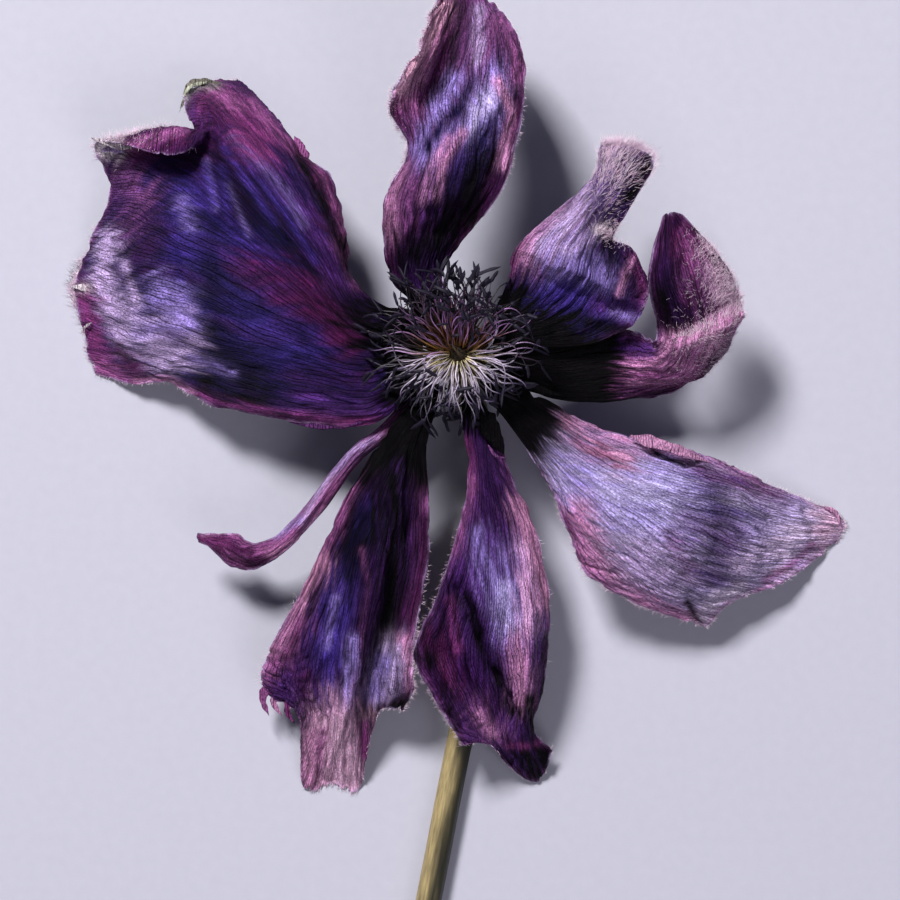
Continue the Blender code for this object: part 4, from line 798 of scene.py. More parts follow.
lower_left = grow_tepal(
    "tepal_lower_left", LOWER_LEFT_LINES, (146, 168), 251, ground=PLUM, folds=(9, 0.45),
    pleat=0.22, crinkle=0.2, rim=(ROSE, 0.8, 0.7), claw=(SHADOW_BLACK, 11.0), bite=0.6,
    # painted light: shadow black down the valley and beside the ridges is painted shade, and the lavender
    # along the ridges is bleach and painted highlight both
    washes=[
        (INDIGO, 0.9, 2.1, (-10.0, -16.8, -12.0, -22.8, -13.8, -28.8)),
        ("#4a3484", 0.85, 1.5, (-11.3, -22.8, -12.3, -26.3, -13.3, -30.3)),
        (SHADOW_BLACK, 0.7, 1.2, (-9.6, -16.8, -11.0, -22.3)), (VIOLET, 0.9, 0.8, (-11.8, -25.8, -12.6, -30.3)),
        (LAVENDER, 0.6, 0.4, (-12.2, -24.8, -13.2, -29.8)),
        (SHADOW_BLACK, 0.8, 1.4, (-6.3, -8.8, -7.3, -14.8, -8.6, -20.8)),
        (PURPLE, 0.7, 0.8, (-5.8, -10.8, -6.2, -18.8)),
        (ROSE, 0.35, 0.35, (-9.6, -19.8, -8.9, -23.4, -9.9, -30.2, -11.2, -35.4)),
        (PLUM, 0.9, 1.0, (-8.2, -20.8, -8.8, -28.8)),
        (SHADOW_BLACK, 1.0, 1.2, (-6.4, -12.8, -6.2, -20.8, -6.6, -25.8, -7.8, -30.8, -9.4, -34.8)),
        (SHADOW_BLACK, 0.8, 1.0, (-10.8, -14.8, -11.3, -19.8)), (SHADOW_BLACK, 0.8, 0.8, (-7.4, -26.8, -8.6, -31.6)),
        (BURGUNDY, 0.9, 0.9, (-3.4, -16.8, -3.6, -22.8, -4.8, -26.6)),
        (ROSE, 0.95, 0.7, (-10.9, -13.6, -12.2, -17.7, -14.6, -21.4)),
        ("#e29cc8", 0.95, 1.2, (-14.0, -21.0, -17.0, -25.5, -19.4, -29.8)),
        (PINK, 0.9, 0.9, (-19.4, -28.8, -20.0, -32.0)), (ROSE, 0.9, 1.4, (-16.8, -27.3, -18.6, -32.0)),
        (PINK, 0.6, 0.4, (-15.8, -24.8, -18.2, -30.3)), (SHADOW_BLACK, 0.6, 0.4, (-16.2, -28.8, -17.8, -32.8)),
        (PURPLE, 0.9, 2.2, (-16.8, -33.8, -13.8, -36.0)),
        (BURGUNDY, 0.7, 1.0, (-15.8, -32.8, -14.6, -37.8)),
        (VIOLET, 0.8, 0.9, (-12.8, -30.8, -12.8, -36.0)),
        (LAVENDER, 0.95, 0.6, (-10.6, -28.8, -10.9, -32.8, -11.4, -36.8)),
        (LILAC, 0.95, 1.4, (-6.0, -30.0, -6.6, -32.3, -7.8, -34.4)),
        (LAVENDER, 0.9, 0.9, (-7.4, -31.2, -8.8, -34.8)),
        (PINK, 0.9, 0.7, (-5.4, -28.8, -4.6, -31.2, -4.5, -33.6)),
        (SHADOW_BLACK, 1.0, 0.9, (-9.4, -36.6, -7.0, -36.2, -4.6, -35.0)),
        ("#ffc0ea", 0.97, 2.4, (-12.0, -37.2, -12.6, -41.8, -12.3, -44.3)),
        ("#ffcdf2", 0.97, 2.0, (-12.0, -38.4, -12.2, -43.6)),
        ("#e69ed0", 0.9, 1.1, (-14.6, -39.3, -15.2, -44.0)),
        (MAGENTA, 0.9, 0.5, (-9.4, -37.6, -9.6, -40.8)), (ROSE, 0.6, 0.35, (-13.8, -38.3, -14.2, -42.8)),
    ],
    creases=[
        (0.6, 0.6, (-9.6, -18.8, -8.9, -23.4, -9.9, -30.2, -11.2, -35.4)),
        (-0.9, 0.8, (-6.8, -16.8, -6.6, -24.8, -8.0, -30.8, -9.6, -34.8)),
        (0.6, 0.5, (-10.9, -13.6, -12.2, -17.7, -15.8, -23.8, -19.2, -29.8)),
        (-0.5, 0.5, (-11.3, -17.8, -13.3, -23.8, -16.8, -29.8)),
        (0.4, 0.5, (-10.6, -28.8, -10.9, -32.8, -11.4, -36.8)),
        (0.45, 0.4, (-12.8, -24.8, -14.0, -30.8, -14.8, -34.8)), (-0.5, 0.4, (-13.6, -24.8, -15.2, -30.8)),
        (0.45, 0.4, (-14.8, -28.8, -16.2, -33.8)), (0.4, 0.35, (-7.4, -28.8, -7.6, -31.6)),
        (-0.35, 0.35, (-6.8, -28.8, -6.2, -31.8)), (-0.4, 0.4, (-13.4, -36.8, -14.2, -43.3)),
        (0.4, 0.4, (-10.8, -36.8, -10.6, -42.8)), (0.4, 0.5, (-5.8, -8.8, -6.0, -16.8)),
        (-0.5, 0.5, (-5.0, -9.8, -5.0, -18.8)), (0.4, 0.4, (-7.8, -7.8, -8.6, -12.8)),
        (0.4, 0.4, (-6.0, -28.8, -5.0, -33.8)),
    ],
)

# Rolled tepal: a narrow one that dried into a loose roll with a curled dark tip.
# Its claw sits on the receptacle between those of the left and the lower left tepal.
GREY = "#9d84c8"  # lavender that bleached further
ROLLED_LINES = [
    [(-2.75, -2.55, 9.9), (-6.9, -8.4, 8.2), (-9.7, -10.8, 8.0), (-13.8, -16.3, 7.4),
     (-17.6, -20.2, 6.6), (-20.4, -21.8, 5.8), (-23.0, -21.6, 5.4), (-24.8, -19.9, 5.6),
     (-26.2, -19.1, 5.8)],
    [(-3.0, -2.25, 9.9), (-7.3, -7.9, 8.6), (-10.2, -10.2, 8.5), (-14.4, -15.6, 8.0),
     (-17.9, -19.3, 7.2), (-20.5, -20.5, 6.6), (-22.7, -19.9, 6.6), (-24.6, -19.1, 6.2),
     (-26.4, -18.6, 6.0)],
    [(-3.2, -1.95, 9.9), (-7.8, -7.4, 8.2), (-10.7, -9.6, 8.0), (-15.0, -14.9, 7.4),
     (-18.1, -18.2, 6.6), (-20.6, -19.2, 5.8), (-22.4, -18.3, 5.4), (-24.4, -18.3, 5.6),
     (-26.3, -18.1, 5.8)],
]

grow_tepal(
    "tepal_rolled", ROLLED_LINES, (40, 130), 293, ground=ROSE, folds=(2, 0.1), rim=(BURGUNDY, 0.4, 0.6),
    claw=(SHADOW_BLACK, 2.5), bite=0.15, flutter=0.2, crinkle=0.1, rib=0.1,
    washes=[
        (LILAC, 0.6, 0.35, (-7.6, -8.2, -10.8, -10.0, -13.8, -13.8, -15.8, -17.2)),
        (GREY, 0.5, 0.6, (-8.6, -8.8, -12.3, -11.8)), (GREY, 0.7, 0.5, (-15.8, -16.8, -18.2, -18.4)),
        (PINK, 0.9, 0.6, (-13.3, -15.8, -15.8, -18.8, -18.8, -20.4)),
        (BURGUNDY, 0.9, 0.5, (-12.8, -14.8, -14.8, -18.8, -18.3, -21.0, -20.8, -21.4)),
        (BURGUNDY, 0.97, 1.2, (-20.8, -20.8, -23.0, -19.6, -24.3, -19.3)),
        (MAGENTA, 0.9, 0.8, (-23.6, -19.3, -26.2, -18.6)),
        (PINK, 0.6, 0.25, (-21.8, -18.3, -23.6, -18.1, -25.8, -18.4)),
    ],
    creases=[
        (0.4, 0.4, (-7.6, -8.2, -10.8, -10.4, -13.8, -14.4, -15.8, -17.8)),
        (-0.4, 0.3, (-11.3, -11.4, -13.6, -14.8, -15.8, -18.4)), (0.4, 0.4, (-21.2, -20.8, -23.2, -19.4)),
    ],
)

# Hairs: the anemone's rims and the backs of its tepals carry fine silky hairs, up to 1.6 mm long. Real
# ones are 0.02 mm thick, and these are up to twice that, so that they show.
HAIR_RADIUS = 0.02
HAIR_TOP = 20.9  # no hair stands higher, so that they stay close to the height of the solids


def speckled_skin(name, hues, scale, detail, finish, bump=None):
    """A material whose colour runs between two hues with a grain of scale bumps a metre. Where it has a bump,
    (strength, metres), the grain stands up. The finish is the shader's own values."""
    material, tree, shader = fresh_material(name)
    place = add_node(tree, "ShaderNodeTexCoord")
    grain = add_node(tree, "ShaderNodeTexNoise", {"Scale": scale, "Detail": detail},
                     {"Vector": (place, "Object")})
    ends = {6 + k: (*linear(hue), 1) for k, hue in enumerate(hues)}
    tint = add_node(tree, "ShaderNodeMix", {"data_type": "RGBA", **ends}, {0: (grain, "Fac")})
    tree.links.new(tint.outputs[2], shader.inputs["Base Color"])
    if bump:
        raised = add_node(tree, "ShaderNodeBump", dict(zip(("Strength", "Distance"), bump)),
                          {"Height": (grain, "Fac")})
        tree.links.new(raised.outputs["Normal"], shader.inputs["Normal"])
    for socket, value in finish.items():
        shader.inputs[socket].default_value = value
    return material


# Dead plant hair: a hollow, air-filled cell, so it looks silvery and takes the light all round; its pale
# pink is partly a painted highlight of the light it catches
hair_skin = speckled_skin("silky plant hair", ("#e2b4da", "#fff0fb"), 900, 1,
                          {"Roughness": 0.5, "Sheen Weight": 0.3})


def hair_object(name, roots, ways, lengths, sag):
    """Three-sided hairs: each leaves its root along its way and bends by its sag with the square of the way
    gone, in two stretches, thinning to a point. A triangle closes its root."""
    t = np.array([0, 0.5, 1.0])[None, :, None]
    path = roots[:, None] + ways[:, None] * lengths[:, None, None] * t + sag[:, None] * t**2
    side = unit(np.cross(ways, [0.31, 0.83, 0.46]))
    other = np.cross(side, ways)
    turn = np.arange(3) * 2 * np.pi / 3
    ring = np.cos(turn)[:, None] * side[:, None] + np.sin(turn)[:, None] * other[:, None]
    body = path[:, :2, None] + ring[:, None] * (HAIR_RADIUS * (1 - 0.7 * t[:, :2, :, None]))
    points = np.concatenate([body.reshape(-1, 6, 3), path[:, 2:]], axis=1)
    points[..., 2] = np.clip(points[..., 2], HAIR_RADIUS, HAIR_TOP)
    faces = [(0, 2, 1)]
    for s in range(3):
        a, b = s, (s + 1) % 3
        faces += [(a, b, b + 3), (a, b + 3, a + 3), (a + 3, b + 3, 6)]
    every = np.array(faces)[None] + 7 * np.arange(len(roots))[:, None, None]
    made = fresh_object(name, points.reshape(-1, 3), every.reshape(-1, 3))
    made.data.materials.append(hair_skin)
    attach(made, "root")


def furnish(name, tepal, groups):
    """A tepal's hairs. Each group is (count, chance, length, lean): roots are drawn from the grid by their
    chance, and a hair points away from the blade's middle and along its normal by the two leans, unevenly."""
    draw = tepal["draw"]
    points, normals = tepal["points"], tepal["normals"]
    out = unit(np.gradient(points, axis=1))
    aside = unit(np.gradient(points, axis=0)) * np.sign(tepal["u"] - 0.5)[..., None]
    roots, ways, lengths = [], [], []
    for count, chance, length, (forward, sideways, upright) in groups:
        chance = chance.ravel() / chance.sum()
        chosen = draw.choice(chance.size, count, p=chance)
        way = forward * out + sideways * aside + upright * normals
        way = unit(way.reshape(-1, 3)[chosen] + draw.normal(0, 0.3, (count, 3)))
        roots.append(points.reshape(-1, 3)[chosen])
        ways.append(way)
        lengths.append(length * draw.uniform(0.45, 1.25, count))
    roots, ways, lengths = (np.concatenate(part) for part in (roots, ways, lengths))
    sag = draw.normal(0, 0.16, ways.shape) * lengths[:, None]
    hair_object(name, roots, ways, lengths, sag)


def at_rim(tepal, side):
    """The chance of a hair at one margin: 1 on the grid's first or last line across past the bare claw, or
    on its far end."""
    chance = np.zeros(tepal["u"].shape)
    hairy = fade_in(11, 19, tepal["along"])
    if side == "left":
        chance[0] = hairy[0]
    elif side == "right":
        chance[-1] = hairy[-1]
    else:
        chance[:, -1] = 1
    return chance


def near(tepal, x, y, reach):
    """The chance of a hair round a place seen from above, a bell of that reach."""
    aside = np.hypot(tepal["points"][..., 0] - x, tepal["points"][..., 1] - y)
    return np.exp(-(aside / reach) ** 2)


# 1 where the left tepal's skin stands on edge, as it does along its fold
fold_line = np.exp(-(left["normals"][..., 2] / 0.4) ** 2)
furnish("hairs_left", left, [
    (300, at_rim(left, "far") * (1 - near(left, -29, 21, 10)), 0.6, (1, 0, 0.2)),
    (120, at_rim(left, "left"), 0.45, (0.2, 1, 0.1)),
    (260, at_rim(left, "far") * near(left, -38.5, 6.8, 2.2), 1.2, (1, 0, 0.1)),
    (500, near(left, -33.0, 22.0, 3.2) * fold_line, 0.9, (0, 0, -1)),
    (200, near(left, -32.5, 21.3, 2.6) * (left["normals"][..., 2] < -0.2), 0.45, (-0.9, 0.1, -0.2)),
    (160, near(left, -36.5, 20.8, 1.6), 1.0, (0.7, 0, -0.4)),
])
furnish("hairs_top", top, [
    (800, at_rim(top, "left") * fade_in(18, 23, top["along"]), 0.65, (0.1, 1, 0.1)),
    (200, near(top, -5.4, 26.0, 2.2) * (top["u"] < 0.08), 0.4, (0.1, 0.9, 0.4)),
    (120, at_rim(top, "right"), 0.5, (0, 1, 0.2)), (90, at_rim(top, "far"), 0.6, (1, 0, 0)),
])
furnish("hairs_upper_right", upper_right, [
    (1300, near(upper_right, 15.0, 19.4, 2.7), 1.2, (1.0, -0.2, 0.3)),
    (600, at_rim(upper_right, "far") * near(upper_right, 16.0, 20.3, 3.0), 1.3, (1, 0, 0.2)),
    (380, near(upper_right, 15.2, 15.4, 2.0), 0.8, (1.0, -0.2, 0.3)),
    (260, near(upper_right, 14.6, 11.8, 0.9), 0.8, (0.6, 0.1, 0.8)),
    (120, near(upper_right, 16.5, 11.4, 1.2), 0.9, (1, 0, 0.3)),
])
furnish("hairs_right", right, [
    (2300, near(right, 26.9, 6.2, 2.3), 1.0, (0.9, 0.5, 0.35)),
    (1500, near(right, 24.8, 0.7, 2.2), 0.7, (0.6, 0.3, 0.6)),
    (700, near(right, 25.2, 9.8, 1.6), 0.8, (0.9, 0.5, 0.35)),
    (200, at_rim(right, "right"), 0.6, (0.2, 1, -0.2)),
])
furnish("hairs_lower_right", lower_right, [
    (320, at_rim(lower_right, "right"), 0.6, (0.2, 1, 0.1)),
    (400, at_rim(lower_right, "far"), 0.5, (1, 0, 0)),
    (160, at_rim(lower_right, "left") * near(lower_right, 36, -14.5, 5), 0.5, (0.2, 1, 0.2)),
])
furnish("hairs_bottom", bottom, [
    (200, at_rim(bottom, "right"), 0.55, (0.1, 1, 0)), (30, at_rim(bottom, "left"), 0.6, (0, 1, 0)),
    (60, at_rim(bottom, "far"), 0.4, (1, 0, 0)),
])
furnish("hairs_lower_left", lower_left, [
    (70, at_rim(lower_left, "right"), 0.8, (0.3, 1, 0.1)),
    (160, at_rim(lower_left, "left"), 0.6, (0, 1, 0)),
    (200, at_rim(lower_left, "far"), 0.5, (1, 0, 0)),
])

# Tatters: shreds and curled points of torn, dried margin, which the tepals still carry, and strips of
# shadow black laid round the hub and over the bottom tepal's claw as painted shadow. Each one is a thin
# strip that tapers to its end, of the same papery skin.


def tube_faces(rings, sides):
    """Triangles of a tube's wall between its rings, and of a fan at each end round an end point: the rings'
    points come first, then the start point and the end point."""
    faces = []
    for k in range(rings - 1):
        for s in range(sides):
            a, b = k * sides + s, k * sides + (s + 1) % sides
            faces += [(a, b, b + sides), (a, b + sides, a + sides)]
    start, end, last = rings * sides, rings * sides + 1, (rings - 1) * sides
    faces += [(start, (s + 1) % sides, s) for s in range(sides)]
    faces += [(end, last + s, last + (s + 1) % sides) for s in range(sides)]
    return np.array(faces)


def tubes(paths, wide, thick, sides, flat):
    """Points and triangles of many tubes at once: an ellipse, wide by thick, carried along each path, its
    thin way nearest to the direction flat. Paths are tubes by rings by 3."""
    way = unit(np.gradient(paths, axis=1))
    side = unit(np.cross(way, flat))
    up = np.cross(side, way)
    turn = np.arange(sides) * 2 * np.pi / sides
    wide, thick = (np.broadcast_to(w, paths.shape[:2])[..., None, None] for w in (wide, thick))
    ring = wide * np.cos(turn)[:, None] * side[:, :, None] + thick * np.sin(turn)[:, None] * up[:, :, None]
    body = (paths[:, :, None] + ring).reshape(len(paths), -1, 3)
    points = np.concatenate([body, paths[:, :1], paths[:, -1:]], axis=1)
    faces = tube_faces(paths.shape[1], sides)[None] + points.shape[1] * np.arange(len(paths))[:, None, None]
    return points.reshape(-1, 3), faces.reshape(-1, 3)


TATTERS = [  # hue, half width, and three places along it, in millimetres from the hub
    ("#8d8a80", 0.45, [(-24.0, 27.4, 2.6), (-27.0, 27.4, 3.6), (-28.0, 25.0, 3.4)]),
    ("#c8ccb8", 0.2, [(-25.4, 27.6, 3.4), (-27.3, 26.9, 4.1), (-28.3, 24.4, 4.0)]),
    ("#4a4440", 0.3, [(-25.2, 26.2, 3.9), (-26.8, 25.9, 4.2), (-27.4, 25.0, 4.2)]),
    (CREAM, 0.4, [(-32.8, 20.6, 7.4), (-35.0, 21.0, 8.0), (-36.9, 21.6, 8.3)]),
    (LILAC, 0.3, [(-33.6, 20.2, 7.2), (-35.2, 20.5, 7.2), (-36.0, 20.2, 6.9)]),
    (CREAM, 0.4, [(-37.0, 6.3, 1.2), (-38.3, 6.8, 0.9), (-39.6, 6.9, 0.5)]),
    (CREAM, 0.14, [(-37.4, 3.2, 1.2), (-38.2, 2.6, 1.0), (-38.4, 1.7, 0.8)]),
    (ROSE, 0.6, [(-15.1, 18.8, 9.4), (-15.9, 20.6, 9.2), (-16.4, 21.7, 9.0)]),
    ("#5a2f66", 0.5, [(-9.2, -6.8, 10.2), (-13.2, -7.3, 9.4), (-17.0, -7.0, 8.4)]),
    (ROSE, 0.45, [(-19.0, -33.0, 4.0), (-19.8, -35.0, 3.6), (-19.2, -36.8, 3.2)]),
    (PINK, 0.4, [(-18.2, -33.6, 4.0), (-18.7, -35.4, 3.5), (-17.9, -36.8, 3.3)]),
    (MAGENTA, 0.35, [(-17.2, -34.6, 4.2), (-17.3, -36.4, 3.6), (-16.6, -37.6, 3.2)]),
    # painted shadow: a dark strip over the bottom tepal's claw
    (SHADOW_BLACK, 1.2, [(2.0, -5.6, 11.8), (3.3, -7.9, 11.6), (4.6, -10.2, 11.0)]),
    (MAUVE, 0.16, [(3.0, -9.3, 11.6), (3.8, -10.4, 11.7), (4.9, -10.6, 11.4)]),
    # painted shadow: dark strips in the shade round the hub
    (SHADOW_BLACK, 1.5, [(-0.4, 1.2, 11.0), (-3.0, 3.6, 10.7), (-5.2, 6.6, 10.4)]),
    (SHADOW_BLACK, 1.3, [(-1.0, 0.8, 11.0), (-4.0, 2.8, 10.6), (-7.0, 4.4, 10.2)]),
    (SHADOW_BLACK, 0.7, [(3.0, -1.8, 10.7), (6.4, -3.2, 10.2), (10.4, -4.4, 9.7)]),
    (LILAC, 0.12, [(6.0, -8.0, 9.9), (7.0, -9.8, 9.3), (7.9, -11.4, 9.0)]),
    ("#d69ac8", 0.62, [(17.2, -8.4, 10.3), (21.4, -9.6, 10.4), (25.4, -11.1, 9.1)]),
    ("#e6a6d4", 0.25, [(37.4, -15.6, 1.2), (38.6, -16.2, 0.8), (39.2, -17.6, 0.5)]),
]


def make_tatters():
    """All shreds: a flattened tube through each one's places, 0.08 mm thick, whose width rises quickly and
    falls to a point, with an uneven edge."""
    rings, sides = 22, 10
    t = np.linspace(0, 1, rings)
    places = np.array([line for _, _, line in TATTERS], float)
    paths = np.stack([blade_points([line, line], np.zeros(rings), t) for line in places])
    widest = np.array([wide for _, wide, _ in TATTERS])[:, None]
    number = np.arange(len(TATTERS))[:, None]
    outline = np.minimum(1, 0.25 + 3 * t) * (1 - t**2.6) + 0.03
    wide = widest * outline * (1 + 0.5 * noise(7 * t[None], number * 3.7, 61))
    points, faces = tubes(paths, wide, 0.04, sides, np.array([0.05, 0.1, 1.0]))
    colour = np.repeat([linear(hue) for hue, _, _ in TATTERS], rings * sides + 2, axis=0)
    colour = colour * (1 + 0.5 * noise(points[:, :1] * 2, points[:, 1:2] * 2, 62))
    made = fresh_object("tatters", points, faces, colour, points[:, :2])
    made.data.materials.append(tepal_skin)
    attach(made, "root")


make_tatters()

# Stamens: a thread-like filament each, cream to lilac, with a dark anther at its end that has shed its
# pollen. They stand in rings on the receptacle's edge and have dried arched over and tangled.

# each ring: count, its two end angles in degrees, root radius, length, first climb in degrees, last climb
# on the lower side and on the upper one, and how light it is: a painted shading, low for the rings that
# stand in the shade between the claws
STAMEN_RINGS = (
    (34, 0, 360, 0.8, 6.4, 76, -34, 36, 1.0), (46, 0, 360, 1.3, 7.3, 68, -46, 22, 1.0),
    (66, 0, 360, 1.9, 7.9, 54, -56, 10, 1.0), (46, 0, 360, 2.5, 6.8, 24, -62, -34, 0.12),
    (24, 190, 236, 2.2, 8.4, 42, -64, 0, 0.25), (22, 245, 330, 2.5, 6.6, 0, -66, 0, 0.12),
    (16, 55, 115, 1.4, 8.0, 66, 40, 34, 0.4), (22, 58, 112, 2.4, 7.2, 40, 10, 2, 0.3),
    (26, 118, 192, 2.4, 7.6, 34, -20, -14, 0.16),
)
ROOT_HEIGHT, ROOT_FALL = 14.1, 0.75  # of a root on the axis, and how much lower one stands a mm further out


def stamen_paths():
    """Every stamen's line, found by walking from its root: its climb falls from steep to drooping as it
    goes, and its heading turns sideways and wavers. Lengths, angles and turns are uneven. The lower ones
    are shorter, and the upper ones stand closer together."""
    draw = np.random.default_rng(8)
    t = np.linspace(0, 1, 17)
    paths, angles, lights = [], [], []
    # light is the ring's painted shading
    for count, start, end, root_r, long, first, droop, rise, light in STAMEN_RINGS:
        angle = np.radians(start + (end - start) * (np.arange(count) + draw.uniform(0, 1, count)) / count)
        upper = fade_in(-0.25, 0.5, np.sin(angle))
        last = droop + (rise - droop) * upper + draw.normal(0, 14, count)
        climb = np.radians(first + draw.normal(0, 7, count)[:, None] + (last - first)[:, None] * t**1.15)
        shorter = 0.2 * fade_in(0.3, -0.7, np.sin(angle)) + 0.06 * upper
        length = long * draw.uniform(0.78, 1.1, count) * (1 - shorter)
        lean = angle + 0.35 * np.cos(angle) * upper
        bend = draw.normal(0, 0.6, count)
        bend = bend + 1.2 * np.sign(draw.uniform(-1, 1, count)) * (draw.uniform(0, 1, count) > 0.7)
        phase = draw.uniform(0, 2 * np.pi, count)
        heading = lean[:, None] + bend[:, None] * t**2 + 0.45 * np.sin(8 * t + phase[:, None]) * t
        level = np.cos(climb)
        step = np.stack([level * np.cos(heading), level * np.sin(heading), np.sin(climb)], axis=-1)
        step = step * (length / (len(t) - 1))[:, None, None]
        across, up = root_r * np.cos(angle), 0.8 * root_r * np.sin(angle) - 0.25
        root = np.stack([across, up, ROOT_HEIGHT - ROOT_FALL * root_r + 0 * angle], axis=-1)
        paths.append(root[:, None] + np.cumsum(step, axis=1) - step[:, :1])
        angles.append(angle)
        lights.append(np.full(count, light))
    return np.concatenate(paths), np.concatenate(angles), np.concatenate(lights), t


def washed_skin(name, place, stretch, detail, shades, rough, bump):
    """A material whose colour is the piece's wash times a shade between two numbers, which follows a grain
    of that many bumps to a unit of the place: UV, the piece's own map, or Object. The grain stands up by the
    bump, (strength, metres)."""
    material, tree, shader = fresh_material(name)
    wash = add_node(tree, "ShaderNodeVertexColor", {"layer_name": "wash"})
    sources = {"UV": ("ShaderNodeUVMap", {"uv_map": "blade"}), "Object": ("ShaderNodeTexCoord",)}
    source = add_node(tree, *sources[place])
    drawn = add_node(tree, "ShaderNodeMapping", {"Scale": stretch}, {"Vector": (source, place)})
    grain = add_node(tree, "ShaderNodeTexNoise", {"Scale": 1.0, "Detail": detail},
                     {"Vector": (drawn, "Vector")})
    ends = dict(zip(("From Min", "From Max", "To Min", "To Max"), (0.3, 0.7, *shades)))
    shade = add_node(tree, "ShaderNodeMapRange", ends, {"Value": (grain, "Fac")})
    tint = add_node(tree, "ShaderNodeVectorMath", {"operation": "SCALE"},
                    {0: (wash, "Color"), "Scale": (shade, "Result")})
    raised = add_node(tree, "ShaderNodeBump", dict(zip(("Strength", "Distance"), bump)),
                      {"Height": (grain, "Fac")})
    tree.links.new(tint.outputs["Vector"], shader.inputs["Base Color"])
    tree.links.new(raised.outputs["Normal"], shader.inputs["Normal"])
    shader.inputs["Roughness"].default_value = rough
    return material


# Dried filament: a smooth translucent thread, colourless to lilac, with a waxy gleam
thread_skin = washed_skin("dried filament", "Object", (2600, 2600, 2600), 2, (0.7, 1.25), 0.42,
                          (0.4, 0.00003))
THREAD_RADIUS = 0.074  # in the middle of its length
stamen_lines, stamen_angles, stamen_painted_shading, stamen_t = stamen_paths()


def make_filaments():
    """The threads: 0.18 mm thick, thinning to 0.11. On the lower side they are cream at the root and then
    nearly white, on the upper one golden brown and then mauve, and all darken towards the anther. The
    upper side's darker hues are partly painted shade, and the upper threads are painted darker and more
    unevenly. The outermost ones are painted dark all along, as shade."""
    draw = np.random.default_rng(17)
    sides = 5
    count = len(stamen_lines)
    radius = THREAD_RADIUS * (1.2 - 0.45 * stamen_t) * draw.uniform(0.75, 1.2, count)[:, None]
    points, faces = tubes(stamen_lines, radius, radius, sides, np.array([0.0, 0.0, 1.0]))
    lower = fade_in(0.3, -0.25, np.sin(stamen_angles) + draw.normal(0, 0.08, count))[:, None, None]
    hues = ("#8a5a1e", "#efe2a8"), ("#a878b8", "#d2c6dc"), ("#2e1f3c", "#7e6c98")
    root, middle, tip = (linear(high) * (1 - lower) + linear(low) * lower for high, low in hues)
    t = stamen_t[None, :, None]
    colour = root + (middle - root) * fade_in(0.1 + 0.15 * (1 - lower), 0.4 + 0.35 * (1 - lower), t)
    colour = colour + (tip - middle) * fade_in(0.6, 1.0, t)
    # painted shade: each thread darker by a random share, the upper ones more unevenly, times its ring's
    # painted shading
    shade = draw.uniform(0.45, 1.15, count) ** (1 + 1.5 * (1 - lower[:, 0, 0])) * stamen_painted_shading
    colour = np.repeat(colour * shade[:, None, None], sides, axis=1)
    colour = np.concatenate([colour, colour[:, :1], colour[:, -1:]], axis=1).reshape(-1, 3)
    made = fresh_object("filaments", points, faces, colour)
    made.data.materials.append(thread_skin)
    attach(made, "root")
    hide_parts("stamens")


make_filaments()

# Spent anther: two split, shrivelled pollen sacs, nearly black with a violet bloom of left pollen
anther_skin = speckled_skin("spent anther", ("#040308", "#231d33"), 3500, 3,
                            {"Roughness": 0.6, "Specular IOR Level": 0.25}, bump=(0.8, 0.00006))
ANTHER_WIDE, ANTHER_THICK = 0.23, 0.13  # half its width and half its thickness


def make_anthers():
    """The anthers: a flattened lance 1.4 to 2 mm long on each filament's end, pinched at its middle and
    twisted a little off the filament's own direction."""
    draw = np.random.default_rng(31)
    count = len(stamen_lines)
    s = np.linspace(0, 1, 11)
    way = unit(stamen_lines[:, -1] - stamen_lines[:, -2] + draw.normal(0, 0.12, (count, 3)))
    long = draw.uniform(1.1, 2.0, count)
    bend = draw.normal(0, 0.5, (count, 3)) - (0, 0, 0.25)
    start = stamen_lines[:, -1] - way * 0.2
    paths = start[:, None] + way[:, None] * (long[:, None] * s)[..., None] + bend[:, None] * (s**2)[:, None]
    swell = np.array([0.3, 0.8, 1.0, 0.95, 0.88, 0.84, 0.88, 0.92, 0.8, 0.5, 0.1])
    points, faces = tubes(paths, ANTHER_WIDE * swell, ANTHER_THICK * swell, 8,
                          unit(draw.normal(0, 1, (count, 1, 3))))
    made = fresh_object("anthers", points, faces)
    made.data.materials.append(anther_skin)
    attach(made, "root")


make_anthers()

# Boss of pistils: a felted dome in the middle, of many small ovaries with a short curved style each. The
# ovaries grew on the receptacle's top, and have dried to a hard knob inside the ring of stamens.
BOSS_FOOT, BOSS_HEIGHT, BOSS_RADIUS = 12.3, 2.1, 1.55

# Felted seed head: olive-brown ovaries under short woolly hair, quite matt
boss_skin = speckled_skin("felted seed head", ("#090603", "#3a2a12"), 1800, 4, {"Roughness": 0.85},
                          bump=(1.0, 0.0001))


